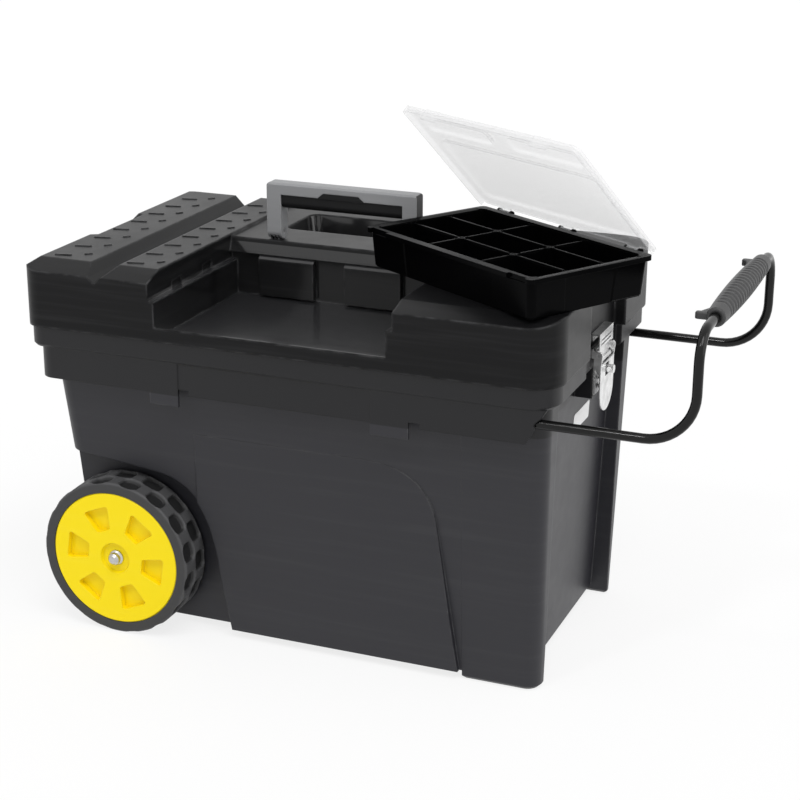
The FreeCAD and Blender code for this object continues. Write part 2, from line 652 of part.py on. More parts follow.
def lid_shell():
    hollow = lid_mass(LID_WALL, LID_BOTTOM_Z + LID_WALL)
    shell = lid_mass(0, LID_BOTTOM_Z).fuse(tool_tray() + tread_lugs())
    mouth = raised(lid_rib_outline(LID_RIB_WALL, LID_BOTTOM_Z - OVERCUT), LID_WALL + 2 * OVERCUT)
    tray_under = box(TRAY_LEFT - LID_WALL, TRAY_RIGHT + LID_WALL, -LID_DEPTH, TRAY_BACK + LID_WALL,
                     LID_BOTTOM_Z - 2 * OVERCUT, TRAY_FLOOR_Z + 2 * OVERCUT)
    shell = shell.cut([hollow, mouth.cut(tray_under)])
    rib_foot = LID_BOTTOM_Z - LID_RIB_DROP
    rib_height = LID_RIB_DROP + LID_WALL
    rib_hole = raised(lid_rib_outline(LID_RIB_WALL, rib_foot - OVERCUT), rib_height + 2 * OVERCUT)
    added = [raised(lid_rib_outline(0, rib_foot), rib_height).cut(rib_hole)] + foot_plates()
    arm_x = LID_LEFT + LID_WALL / 2
    for side in SIDES:
        middle = side * HINGE_Y
        added.append(knuckle(
            middle - LID_KNUCKLE_LENGTH / 2, middle + LID_KNUCKLE_LENGTH / 2,
            [(HINGE_X - KNUCKLE_RADIUS, HINGE_Z), (HINGE_X + KNUCKLE_RADIUS, HINGE_Z), (arm_x, LID_BOTTOM_Z),
             (arm_x, LID_BOTTOM_Z + KNUCKLE_ARM_RISE)],
            HINGE_PIN_RADIUS + RUNNING_FIT))
    shell = shell.fuse(added)
    pockets = [rod(HANDLE_PIN_RADIUS, on_handle_axis(HANDLE_LEFT), on_handle_axis(HANDLE_RIGHT))]
    for inset in CLIP_POCKET_INSETS:
        y = -LID_HALF_DEPTH + inset
        for wall_x in (TRAY_LEFT, TRAY_RIGHT):
            pockets.append(box(wall_x - CLIP_POCKET_DEPTH, wall_x + CLIP_POCKET_DEPTH,
                               y - CLIP_POCKET_LENGTH / 2, y + CLIP_POCKET_LENGTH / 2,
                               TRAY_LEDGE_Z, TRAY_LEDGE_Z + CLIP_POCKET_HEIGHT))
    return shell.cut(pockets)


def lid_catch():
    """Steel strip on the lid end that the latch link hooks over."""
    top = LINK_TOP_Z - LINK_SHEET - HOOK_GAP
    return box(RECESS_X, RECESS_X + CATCH_THICKNESS, -CATCH_HALF_WIDTH, CATCH_HALF_WIDTH,
               top - CATCH_HEIGHT, top)


def insert_bump(y0, y1):
    """Trapezoid of the grip insert that reaches up into the bar."""
    middle = (HANDLE_LEFT + HANDLE_RIGHT) / 2
    under = HANDLE_TOP_Z - HANDLE_BAR_HEIGHT
    half = INSERT_BUMP_LENGTH / 2
    foot = half + INSERT_BUMP_FLANK
    return along_y(
        [(middle - foot, under - OVERCUT), (middle + foot, under - OVERCUT),
         (middle + half, under + INSERT_BUMP_HEIGHT), (middle - half, under + INSERT_BUMP_HEIGHT)], y0, y1)


def carry_handle_frame():
    """Bar on two legs; each foot is slotted for the lid's hinge plates and swings down past them."""
    bottom = HANDLE_PIVOT_Z
    outer = raised(rounded_outline(HANDLE_LEFT, HANDLE_RIGHT, bottom - 2 * HANDLE_CORNER, HANDLE_TOP_Z,
                                   HANDLE_CORNER, 0), HANDLE_THICKNESS)
    outer.rotate(Vec(0, 0, 0), X_AXIS, 90)
    outer.translate(Vec(0, HANDLE_BACK, 0))
    shoulder = HANDLE_TOP_Z - HANDLE_EDGE
    bevelled = along_x(
        [(HANDLE_FRONT, bottom), (HANDLE_FRONT, shoulder), (HANDLE_FRONT + HANDLE_EDGE, HANDLE_TOP_Z),
         (HANDLE_BACK - HANDLE_EDGE, HANDLE_TOP_Z), (HANDLE_BACK, shoulder), (HANDLE_BACK, bottom)],
        HANDLE_LEFT, HANDLE_RIGHT)
    front = HANDLE_FRONT - OVERCUT
    back = HANDLE_BACK + OVERCUT
    gap = box(HANDLE_LEFT + HANDLE_LEG_WIDTH, HANDLE_RIGHT - HANDLE_LEG_WIDTH, front, back,
              bottom - OVERCUT, HANDLE_TOP_Z - HANDLE_BAR_HEIGHT)
    frame = outer.common(bevelled).cut([gap, insert_bump(front, back)])
    foot_radius = HANDLE_THICKNESS / 2
    feet = [rod(foot_radius, on_handle_axis(left), on_handle_axis(right)) for left, right in handle_legs()]
    cuts = [rod(HANDLE_PIN_RADIUS + RUNNING_FIT, on_handle_axis(HANDLE_LEFT - OVERCUT),
                on_handle_axis(HANDLE_RIGHT + OVERCUT))]
    eye = FOOT_PLATE_RADIUS + HANDLE_FOOT_GAP
    for middle in foot_plate_middles():
        x0 = middle - FOOT_PLATE_WIDTH / 2 - FOOT_PLATE_PLAY
        x1 = middle + FOOT_PLATE_WIDTH / 2 + FOOT_PLATE_PLAY
        cuts.append(rod(eye, on_handle_axis(x0), on_handle_axis(x1)))
        cuts.append(box(x0, x1, HANDLE_PIVOT_Y - eye, back, HANDLE_PIVOT_Z - foot_radius - OVERCUT,
                        HANDLE_PIVOT_Z + eye))
    return frame.fuse(feet).cut(cuts)


def carry_handle_insert():
    top = HANDLE_TOP_Z - HANDLE_BAR_HEIGHT
    front = HANDLE_FRONT + INSERT_SETBACK
    back = HANDLE_BACK - INSERT_SETBACK
    left = HANDLE_LEFT + HANDLE_LEG_WIDTH
    right = HANDLE_RIGHT - HANDLE_LEG_WIDTH
    radius = (back - front) / 2
    round_z = top - INSERT_HEIGHT + radius
    bar = box(left, right, front, back, round_z, top)
    finger_side = rod(radius, Vec(left, HANDLE_PIVOT_Y, round_z), Vec(right, HANDLE_PIVOT_Y, round_z))
    return bar.fuse([finger_side, insert_bump(HANDLE_FRONT, HANDLE_BACK)])


def carry_handle_pins():
    return Part.makeCompound([
        rod(HANDLE_PIN_RADIUS, on_handle_axis(left), on_handle_axis(right)) for left, right in handle_legs()])


def tub_share(z):
    return (z - TUB_BOTTOM_Z) / (LEDGE_UNDER_Z - TUB_BOTTOM_Z)


def tub_half_depth(z):
    return TUB_LOW_HALF_DEPTH + (TUB_HIGH_HALF_DEPTH - TUB_LOW_HALF_DEPTH) * tub_share(z)


def tub_outline(z, inset):
    share = tub_share(z)
    left = TUB_LOW_LEFT + (TUB_HIGH_LEFT - TUB_LOW_LEFT) * share
    right = TUB_LOW_RIGHT + (TUB_HIGH_RIGHT - TUB_LOW_RIGHT) * share
    half = tub_half_depth(z)
    return rounded_outline(left + inset, right - inset, -half + inset, half - inset, TUB_CORNER - inset, z)


def post_outline(z, inset):
    """Plan of a corner post: square inside, one round outer corner."""
    share = z / LEDGE_UNDER_Z
    x0 = POST_LEFT + inset
    x1 = POST_LOW_RIGHT + (POST_HIGH_RIGHT - POST_LOW_RIGHT) * share - inset
    outer = -(tub_half_depth(z) + POST_PROUD) + inset
    inner = -POST_INNER - inset
    radius = min(POST_CORNER, tub_half_depth(0) - POST_INNER - FOOT_BEVEL) - inset
    cut = radius * ARC_MIDDLE
    corners = [Vec(x1 - radius, outer, z), Vec(x0, outer, z), Vec(x0, inner, z), Vec(x1, inner, z),
               Vec(x1, outer + radius, z)]
    edges = [Part.LineSegment(a, b).toShape() for a, b in zip(corners, corners[1:])]
    edges.append(Part.Arc(corners[-1], Vec(x1 - cut, outer + cut, z), corners[0]).toShape())
    return Part.Wire(edges)


def side_panel():
    """Raised panel of the front wall, with its arched edge beside the corner post."""
    curve_z = PANEL_TOP_Z - PANEL_CURVE_DROP
    lean = (PANEL_HIGH_RIGHT - PANEL_LOW_RIGHT) / (PANEL_TOP_Z - TUB_BOTTOM_Z)
    low_right = Vec(PANEL_LOW_RIGHT, 0, TUB_BOTTOM_Z)
    curve_start = Vec(PANEL_LOW_RIGHT + lean * (curve_z - TUB_BOTTOM_Z), 0, curve_z)
    corner = Vec(PANEL_HIGH_RIGHT, 0, PANEL_TOP_Z)
    curve_end = Vec(PANEL_HIGH_RIGHT - PANEL_CURVE_RUN, 0, PANEL_TOP_Z)
    high_left = Vec(PANEL_LEFT, 0, PANEL_TOP_Z)
    low_left = Vec(PANEL_LEFT, 0, TUB_BOTTOM_Z)
    arch = Part.BezierCurve()
    arch.setPoles([curve_start, corner, curve_end])
    outline = Part.Wire([
        Part.LineSegment(low_left, low_right).toShape(), Part.LineSegment(low_right, curve_start).toShape(),
        arch.toShape(), Part.LineSegment(curve_end, high_left).toShape(),
        Part.LineSegment(high_left, low_left).toShape()])
    slab = Part.Face(outline).extrude(Vec(0, -LID_HALF_DEPTH, 0))
    section = along_x(
        [(-tub_half_depth(TUB_BOTTOM_Z) - PANEL_LOW_PROUD, TUB_BOTTOM_Z),
         (-tub_half_depth(PANEL_CREASE_Z) - PANEL_CREASE_PROUD, PANEL_CREASE_Z),
         (-tub_half_depth(PANEL_TOP_Z) - PANEL_HIGH_PROUD, PANEL_TOP_Z),
         (-WELL_INNER_Y, PANEL_TOP_Z), (-WELL_INNER_Y, TUB_BOTTOM_Z)],
        PANEL_LEFT - OVERCUT, PANEL_LOW_RIGHT + OVERCUT)
    return slab.common(section)


def wheel_well(grow):
    """Arched space of one front wheel, open to the hinge end and to the floor."""
    front_x = WHEEL_X + WHEEL_RADIUS + WELL_FRONT_GAP + grow
    top_z = WHEEL_Z + WHEEL_RADIUS + WELL_TOP_GAP + grow

    def front_at(z):
        return front_x - WELL_FRONT_LEAN * (z - WHEEL_Z)

    def top_at(x):
        return top_z - WELL_TOP_LEAN * (x - WHEEL_X)

    corner_z = top_at(front_at(top_z))
    corner = Vec(front_at(corner_z), 0, corner_z)
    curve_z = corner_z - WELL_CURVE_DROP
    curve_start = Vec(front_at(curve_z), 0, curve_z)
    curve_x = corner.x - WELL_CURVE_RUN
    curve_end = Vec(curve_x, 0, top_at(curve_x))
    low = -OVERCUT - grow
    low_front = Vec(front_at(low), 0, low)
    far = TUB_HIGH_LEFT - WHEEL_RADIUS
    high_far = Vec(far, 0, top_at(far))
    low_far = Vec(far, 0, low)
    arch = Part.BezierCurve()
    arch.setPoles([curve_start, corner, curve_end])
    outline = Part.Wire([
        Part.LineSegment(low_far, low_front).toShape(), Part.LineSegment(low_front, curve_start).toShape(),
        arch.toShape(), Part.LineSegment(curve_end, high_far).toShape(),
        Part.LineSegment(high_far, low_far).toShape()])
    well = Part.Face(outline).extrude(Vec(0, -LID_HALF_DEPTH, 0))
    well.translate(Vec(0, -WELL_INNER_Y + grow, 0))
    return well


def axle_tunnel(grow, half_length):
    """Slot under the floor that lets the axle cross the tub."""
    radius = AXLE_RADIUS + TUNNEL_CLEARANCE + grow
    crown = rod(radius, Vec(WHEEL_X, -half_length, WHEEL_Z), Vec(WHEEL_X, half_length, WHEEL_Z))
    return crown.fuse(box(WHEEL_X - radius, WHEEL_X + radius, -half_length, half_length, -OVERCUT, WHEEL_Z))


def rim_outline(z, inset):
    half = RIM_HALF_DEPTH - inset
    return rounded_outline(RIM_LEFT + inset, RIM_RIGHT - inset, -half, half,
                           HINGE_END_CORNER - RIM_INSET - inset, z, LATCH_END_CORNER - RIM_INSET - inset)


def tub_rim():
    """Upstanding band round the mouth, on the ledge that also carries the skirt."""
    height = RIM_TOP_Z - RIM_FLOOR_Z
    foot = loft(rim_outline(LEDGE_UNDER_Z, RIM_CHAMFER), rim_outline(RIM_FLOOR_Z, 0))
    band = raised(rim_outline(RIM_FLOOR_Z, 0), height)
    hole = raised(rim_outline(RIM_FLOOR_Z, RIM_WALL), height + OVERCUT)
    rim = foot.fuse(band).cut(hole)
    jog = box(LATCH_SEAT_X - RIM_WALL, RIM_RIGHT - RIM_WALL / 2, -RECESS_HALF_WIDTH - RIM_WALL,
              RECESS_HALF_WIDTH + RIM_WALL, LEDGE_UNDER_Z + OVERCUT, RIM_TOP_Z)
    recess = box(LATCH_SEAT_X, LID_RIGHT, -RECESS_HALF_WIDTH, RECESS_HALF_WIDTH,
                 LEDGE_UNDER_Z - OVERCUT, RIM_TOP_Z + OVERCUT)
    return rim.fuse(jog).cut(recess)


def tub_skirt():
    """Apron that hangs from the ledge and hides the pull handle's tubes; its latch end is cut off askew."""
    top = LEDGE_UNDER_Z + OVERCUT
    corner = LATCH_END_CORNER - SKIRT_SIDE_INSET
    outer = raised(rounded_outline(SKIRT_LEFT, SKIRT_RIGHT, -SKIRT_HALF_DEPTH, SKIRT_HALF_DEPTH, SKIRT_CORNER,
                                   SKIRT_BOTTOM_Z, corner), top - SKIRT_BOTTOM_Z)
    half = SKIRT_HALF_DEPTH - SKIRT_WALL
    below = SKIRT_BOTTOM_Z - OVERCUT
    above = top + OVERCUT
    inner = raised(rounded_outline(SKIRT_LEFT + SKIRT_WALL, SKIRT_RIGHT - SKIRT_WALL, -half, half,
                                   SKIRT_CORNER - SKIRT_WALL, below, corner - SKIRT_WALL), above - below)
    tabs = []
    cuts = [along_y(
        [(LID_RIGHT - SKIRT_LOW_END_INSET, below), (LID_RIGHT - SKIRT_HIGH_END_INSET, above),
         (LID_RIGHT + OVERCUT, above), (LID_RIGHT + OVERCUT, below)],
        -LID_DEPTH, LID_DEPTH)]
    for side in SIDES:
        face = side * SKIRT_HALF_DEPTH
        inside = side * half
        panel = side * (SKIRT_HALF_DEPTH - SKIRT_PANEL_RECESS)
        outside = side * (SKIRT_HALF_DEPTH + OVERCUT)
        for x0, x1 in (HINGE_TAB, LATCH_TAB):
            tabs.append(box(x0, x1, min(face, inside), max(face, inside), SKIRT_BOTTOM_Z - TAB_DROP,
                            SKIRT_BOTTOM_Z + OVERCUT))
            cuts.append(box(x1, x1 + TAB_NOTCH_LENGTH, min(inside - side * OVERCUT, outside),
                            max(inside - side * OVERCUT, outside), SKIRT_BOTTOM_Z - TAB_DROP,
                            SKIRT_BOTTOM_Z + TAB_NOTCH_HEIGHT))
        cuts.append(box(HINGE_TAB[1], LATCH_TAB[0], min(panel, outside), max(panel, outside),
                        SKIRT_BOTTOM_Z - OVERCUT, LEDGE_UNDER_Z))
        cuts.append(rod(TUBE_RADIUS + TUBE_EXIT_CLEARANCE, Vec(LATCH_TAB[1], side * TUBE_LEG_Y, TUBE_LEG_Z),
                        Vec(LID_RIGHT, side * TUBE_LEG_Y, TUBE_LEG_Z)))
    return outer.cut(inner).fuse(tabs).cut(cuts)


def latch_seat(inset):
    """Boss on the latch end that carries the latch plate, or the hollow inside it."""
    half = LATCH_BASE_HALF_WIDTH + TUB_WALL - inset
    return box(TUB_HIGH_RIGHT - TUB_CORNER, LATCH_SEAT_X - inset, -half, half,
               LATCH_BASE_BOTTOM_Z - TUB_WALL + inset, LEDGE_UNDER_Z + OVERCUT - inset)


def tub_shell():
    post = loft(post_outline(0, FOOT_BEVEL), post_outline(FOOT_BEVEL, 0), post_outline(LEDGE_UNDER_Z, 0))
    top = RIM_FLOOR_Z + OVERCUT
    post_hollow = loft(post_outline(TUB_WALL + FOOT_BEVEL, TUB_WALL), post_outline(top, TUB_WALL))
    panel = side_panel()
    core = loft(tub_outline(TUB_BOTTOM_Z, 0), tub_outline(LEDGE_UNDER_Z + OVERCUT, 0))
    hollow = loft(tub_outline(TUB_BOTTOM_Z + TUB_WALL, TUB_WALL), tub_outline(top, TUB_WALL))
    well = wheel_well(0)
    body = core.fuse([panel, mirrored_y(panel), post, mirrored_y(post), latch_seat(0)])
    body = body.cut([well, mirrored_y(well)])
    well_wall = wheel_well(TUB_WALL)
    inside = hollow.fuse([post_hollow, mirrored_y(post_hollow), latch_seat(TUB_WALL)])
    inside = inside.cut([well_wall, mirrored_y(well_wall), axle_tunnel(TUB_WALL, WELL_INNER_Y)])
    shell = body.fuse([tub_rim(), tub_skirt()]).cut(inside)
    knuckles = []
    arm_x = RIM_LEFT + RIM_WALL / 2
    for side in SIDES:
        for direction in SIDES:
            near = side * HINGE_Y + direction * (LID_KNUCKLE_LENGTH / 2 + SIDE_PLAY)
            far = near + direction * TUB_KNUCKLE_LENGTH
            knuckles.append(knuckle(
                min(near, far), max(near, far),
                [(HINGE_X - KNUCKLE_RADIUS, HINGE_Z), (HINGE_X + KNUCKLE_RADIUS, HINGE_Z),
                 (arm_x, HINGE_Z), (arm_x, HINGE_Z - 2 * KNUCKLE_RADIUS)],
                HINGE_PIN_RADIUS))
    shell = shell.fuse(knuckles)
    slot = axle_tunnel(0, WELL_INNER_Y - AXLE_SEAT_LENGTH)
    bore = rod(AXLE_RADIUS, Vec(WHEEL_X, -WELL_INNER_Y - OVERCUT, WHEEL_Z),
               Vec(WHEEL_X, WELL_INNER_Y + OVERCUT, WHEEL_Z))
    return shell.cut([slot, bore])


def hinge_pins():
    half = LID_KNUCKLE_LENGTH / 2 + SIDE_PLAY + TUB_KNUCKLE_LENGTH
    pins = []
    for side in SIDES:
        start = Vec(HINGE_X, side * HINGE_Y - half, HINGE_Z)
        end = Vec(HINGE_X, side * HINGE_Y + half, HINGE_Z)
        pins.append(rod(HINGE_PIN_RADIUS, start, end))
    return Part.makeCompound(pins)


def axle():
    return rod(AXLE_RADIUS, Vec(WHEEL_X, -AXLE_HALF_LENGTH, WHEEL_Z), Vec(WHEEL_X, AXLE_HALF_LENGTH, WHEEL_Z))


def on_both_ends_of_axle(ring):
    """The ring on its place at the back end of the axle, and its mirror at the front end."""
    back = ring.copy()
    back.translate(Vec(WHEEL_X, 0, WHEEL_Z))
    return mirrored_y(back), back


def push_nuts():
    inner = WHEEL_OUTER_Y - HUB_CENTRE_DEPTH + SEAT_GAP
    crown = AXLE_HALF_LENGTH + PUSH_NUT_CROWN
    flange = AXLE_RADIUS + PUSH_NUT_FLANGE
    cup = AXLE_RADIUS + PUSH_NUT_WALL
    nut = revolved_about_y([
        (AXLE_RADIUS, inner), (flange, inner), (flange, inner + PUSH_NUT_SHEET),
        (cup, inner + 2 * PUSH_NUT_SHEET), (cup, crown - PUSH_NUT_DOME), (cup - PUSH_NUT_DOME, crown),
        (0, crown), (0, AXLE_HALF_LENGTH), (AXLE_RADIUS, AXLE_HALF_LENGTH)])
    return Part.makeCompound(on_both_ends_of_axle(nut))


def axle_washers():
    outer = WHEEL_INNER_Y - SEAT_GAP
    radius = AXLE_RADIUS + WASHER_WALL
    washer = revolved_about_y([
        (AXLE_RADIUS, WELL_INNER_Y), (radius, WELL_INNER_Y), (radius, outer), (AXLE_RADIUS, outer)])
    return Part.makeCompound(on_both_ends_of_axle(washer))


def hub_pockets():
    """Ring of sunk pockets with rounded corners in the wheel's face."""
    inner = HUB_CENTRE_RADIUS + HUB_POCKET_INNER_MARGIN
    outer = TYRE_BASE_RADIUS - HUB_POCKET_OUTER_MARGIN
    inner_half = HUB_POCKET_INNER_WIDTH / 2
    outer_half = HUB_POCKET_OUTER_WIDTH / 2
    pocket = along_y([(inner, -inner_half), (outer, -outer_half), (outer, outer_half), (inner, inner_half)],
                     WHEEL_OUTER_Y - HUB_POCKET_DEPTH, WHEEL_OUTER_Y + OVERCUT)
    upright = [edge for edge in pocket.Edges if edge.BoundBox.YLength > HUB_POCKET_DEPTH]
    pocket = pocket.makeFillet(HUB_POCKET_ROUND, upright)
    angles = [HUB_POCKET_TURN + 360 / HUB_POCKETS * index for index in range(HUB_POCKETS)]
    return [turned(pocket, Vec(0, 0, 0), Y_AXIS, angle) for angle in angles]


def wheel_hub():
    """Moulded disc with its barrel and boss, and a ring of sunk pockets."""
    bore = AXLE_RADIUS + RUNNING_FIT
    boss = AXLE_RADIUS + HUB_BOSS_WALL
    face = WHEEL_OUTER_Y
    web = face - HUB_DISC_THICKNESS
    seat = face - HUB_CENTRE_DEPTH
    barrel = TYRE_BEAD_RADIUS - HUB_RIM_WALL
    hub = revolved_about_y([
        (bore, WHEEL_INNER_Y), (boss, WHEEL_INNER_Y), (boss, web), (barrel, web), (barrel, WHEEL_INNER_Y),
        (TYRE_BEAD_RADIUS, WHEEL_INNER_Y), (TYRE_BEAD_RADIUS, web), (TYRE_BASE_RADIUS, web),
        (TYRE_BASE_RADIUS, face - HUB_EDGE), (TYRE_BASE_RADIUS - HUB_EDGE, face), (HUB_CENTRE_RADIUS, face),
        (HUB_CENTRE_RADIUS - HUB_CENTRE_TAPER, seat), (bore, seat)])
    return hub.cut(hub_pockets())


def wheel_tyre():
    """Tyre with two staggered rows of lugs, left standing between cut notches."""
    face = WHEEL_OUTER_Y
    web = face - HUB_DISC_THICKNESS
    tyre = revolved_about_y([
        (TYRE_BEAD_RADIUS, WHEEL_INNER_Y), (WHEEL_RADIUS - TYRE_SHOULDER, WHEEL_INNER_Y),
        (WHEEL_RADIUS, WHEEL_INNER_Y + TYRE_SHOULDER), (WHEEL_RADIUS, face - TYRE_SHOULDER),
        (WHEEL_RADIUS - TYRE_SHOULDER, face), (TYRE_BASE_RADIUS, face), (TYRE_BASE_RADIUS, web),
        (TYRE_BEAD_RADIUS, web)])
    middle = (WHEEL_INNER_Y + face) / 2
    half_rib = TYRE_MIDDLE_RIB / 2
    step = 360 / TYRE_LUGS_PER_ROW
    notches = []
    for y0, y1, start in ((WHEEL_INNER_Y - OVERCUT, middle - half_rib, 0),
                          (middle + half_rib, face + OVERCUT, step / 2)):
        notch = box(WHEEL_RADIUS - TYRE_LUG_DEPTH, WHEEL_RADIUS + OVERCUT, y0, y1,
                    -TYRE_LUG_GAP / 2, TYRE_LUG_GAP / 2)
        for index in range(TYRE_LUGS_PER_ROW):
            notches.append(turned(notch, Vec(0, 0, 0), Y_AXIS, start + step * index))
    return tyre.cut(notches)


def pull_tube():
    """Steel tube: two legs in the skirt, risers and a bow across the end."""
    end = TUBE_STOP_X - STOP_LENGTH
    y = TUBE_LEG_Y
    low = TUBE_LEG_Z
    high = TUBE_BOW_Z
    bow = TUBE_BOW_X
    cut_low = TUBE_LOW_BEND * ARC_MIDDLE
    cut_high = TUBE_HIGH_BEND * ARC_MIDDLE
    edges = [
        Part.LineSegment(Vec(end, -y, low), Vec(bow - TUBE_LOW_BEND, -y, low)),
        Part.Arc(Vec(bow - TUBE_LOW_BEND, -y, low), Vec(bow - cut_low, -y, low + cut_low),
                 Vec(bow, -y, low + TUBE_LOW_BEND)),
        Part.LineSegment(Vec(bow, -y, low + TUBE_LOW_BEND), Vec(bow, -y, high - TUBE_HIGH_BEND)),
        Part.Arc(Vec(bow, -y, high - TUBE_HIGH_BEND), Vec(bow, -y + cut_high, high - cut_high),
                 Vec(bow, -y + TUBE_HIGH_BEND, high)),
        Part.LineSegment(Vec(bow, -y + TUBE_HIGH_BEND, high), Vec(bow, y - TUBE_HIGH_BEND, high)),
        Part.Arc(Vec(bow, y - TUBE_HIGH_BEND, high), Vec(bow, y - cut_high, high - cut_high),
                 Vec(bow, y, high - TUBE_HIGH_BEND)),
        Part.LineSegment(Vec(bow, y, high - TUBE_HIGH_BEND), Vec(bow, y, low + TUBE_LOW_BEND)),
        Part.Arc(Vec(bow, y, low + TUBE_LOW_BEND), Vec(bow - cut_low, y, low + cut_low),
                 Vec(bow - TUBE_LOW_BEND, y, low)),
        Part.LineSegment(Vec(bow - TUBE_LOW_BEND, y, low), Vec(end, y, low)),
    ]
    path = Part.Wire([edge.toShape() for edge in edges])

    def sweep(radius):
        circle = Part.Wire(Part.Circle(Vec(end, -y, low), X_AXIS, radius).toShape())
        return path.makePipeShell([circle], True, False)

    return sweep(TUBE_RADIUS).cut(sweep(TUBE_RADIUS - TUBE_WALL))


def tube_stops():
    """Collars on the tube ends that come up against the first guides when the handle is drawn out."""
    half_width = SKIRT_HALF_DEPTH - SKIRT_WALL - TUBE_LEG_Y - SEAT_GAP
    stops = []
    for side in SIDES:
        start = Vec(TUBE_STOP_X - STOP_LENGTH, side * TUBE_LEG_Y, TUBE_LEG_Z)
        end = Vec(TUBE_STOP_X, side * TUBE_LEG_Y, TUBE_LEG_Z)
        block = box(start.x, end.x, start.y - half_width, start.y + half_width,
                    TUBE_LEG_Z - STOP_HALF_HEIGHT, TUBE_LEG_Z + STOP_HALF_HEIGHT)
        stops.append(block.cut(rod(TUBE_RADIUS, start, end)))
    return Part.makeCompound(stops)


def tube_guides():
    """Sliding blocks behind the skirt's tabs, two for each leg of the tube."""
    guides = []
    for side in SIDES:
        inner = side * (TUBE_LEG_Y - TUBE_RADIUS - GUIDE_INNER_GAP)
        outer = side * (SKIRT_HALF_DEPTH - SKIRT_WALL)
        for x0, x1 in (HINGE_TAB, LATCH_TAB):
            block = box(x0, x1, min(inner, outer), max(inner, outer),
                        TUBE_LEG_Z - GUIDE_DROP, LEDGE_UNDER_Z)
            bore = rod(TUBE_RADIUS + RUNNING_FIT, Vec(x0 - OVERCUT, side * TUBE_LEG_Y, TUBE_LEG_Z),
                       Vec(x1 + OVERCUT, side * TUBE_LEG_Y, TUBE_LEG_Z))
            guides.append(block.cut(bore))
    return Part.makeCompound(guides)


def grip_grooves():
    """Finger grooves across the upper outer side of the grip, running out at their ends."""
    window = box(GRIP_WINDOW_OFFSET, 2 * GRIP_MIDDLE_RADIUS, -GRIP_HALF_LENGTH, GRIP_HALF_LENGTH,
                 -2 * GRIP_MIDDLE_RADIUS, 2 * GRIP_MIDDLE_RADIUS)
    window.rotate(Vec(0, 0, 0), Y_AXIS, -GRIP_WINDOW_ANGLE)
    count = int(2 * (GRIP_HALF_LENGTH - GRIP_PLAIN_END) // GRIP_GROOVE_PITCH)
    half = GRIP_GROOVE_WIDTH / 2
    grooves = []
    for index in range(count):
        y = (index - (count - 1) / 2) * GRIP_GROOVE_PITCH
        swell = (GRIP_MIDDLE_RADIUS - GRIP_END_RADIUS) * (1 - (y / GRIP_HALF_LENGTH) ** 2)
        floor = GRIP_END_RADIUS + swell - GRIP_GROOVE_DEPTH
        outside = floor + 2 * GRIP_GROOVE_DEPTH
        ring = revolved_about_y([(floor, y - half / 2), (outside, y - half), (outside, y + half),
                                 (floor, y + half / 2)])
        grooves.append(ring.common(window))
    return grooves


def pull_grip():
    """Swelling sleeve on the bow, grooved on its upper side, with a hooked wing at each end."""
    end_y = GRIP_HALF_LENGTH - GRIP_END_ROUND
    end_radius = GRIP_END_RADIUS - GRIP_END_ROUND
    corners = [
        Vec(GRIP_END_RADIUS, -end_y, 0), Vec(end_radius, -GRIP_HALF_LENGTH, 0), Vec(0, -GRIP_HALF_LENGTH, 0),
        Vec(0, GRIP_HALF_LENGTH, 0), Vec(end_radius, GRIP_HALF_LENGTH, 0), Vec(GRIP_END_RADIUS, end_y, 0)]
    edges = [Part.LineSegment(a, b).toShape() for a, b in zip(corners, corners[1:])]
    edges.append(Part.Arc(corners[-1], Vec(GRIP_MIDDLE_RADIUS, 0, 0), corners[0]).toShape())
    grip = Part.Face(Part.Wire(edges)).revolve(Vec(0, 0, 0), Y_AXIS, 360)
    wings = []
    for side in SIDES:
        outer = side * GRIP_HALF_LENGTH
        inner = side * (GRIP_HALF_LENGTH - WING_LENGTH)
        tip = side * (GRIP_HALF_LENGTH - WING_HOOK)
        wings.append(along_z([(-WING_ROOT, outer), (-WING_REACH, outer), (-WING_REACH, tip),
                              (-WING_REACH + WING_HOOK_DEPTH, tip), (-WING_ROOT, inner)],
                             -WING_THICKNESS / 2, WING_THICKNESS / 2))
    core = rod(TUBE_RADIUS, Vec(0, -LID_DEPTH, 0), Vec(0, LID_DEPTH, 0))
    grip = grip.fuse(wings).cut(grip_grooves() + [core])
    grip.translate(Vec(TUBE_BOW_X, 0, TUBE_BOW_Z))
    return grip


def latch_base():
    """Plate on the tub end: a narrow stem, and a head with two ears for the lever's pins."""
    head_foot = LEVER_PIVOT_Z - LEVER_CHEEK_RADIUS
    stem = box(LATCH_SEAT_X, LATCH_PLATE_X, -LATCH_BASE_HALF_WIDTH, LATCH_BASE_HALF_WIDTH,
               LATCH_BASE_BOTTOM_Z, head_foot)
    head = box(LATCH_SEAT_X, LATCH_PLATE_X, -LATCH_EAR_OUTER, LATCH_EAR_OUTER, head_foot, LATCH_BASE_TOP_Z)
    ears = [head]
    holes = []
    for side in SIDES:
        y0 = min(side * LATCH_EAR_INNER, side * LATCH_EAR_OUTER)
        y1 = y0 + LATCH_SHEET
        pivot_start = Vec(LEVER_PIVOT_X, y0, LEVER_PIVOT_Z)
        pivot_end = Vec(LEVER_PIVOT_X, y1, LEVER_PIVOT_Z)
        ears.append(box(LATCH_SEAT_X, LEVER_PIVOT_X, y0, y1, head_foot, LEVER_PIVOT_Z + LEVER_CHEEK_RADIUS))
        ears.append(rod(LEVER_CHEEK_RADIUS, pivot_start, pivot_end))
        holes.append(rod(LEVER_PIN_RADIUS, pivot_start, pivot_end))
    return stem.fuse(ears).cut(holes)


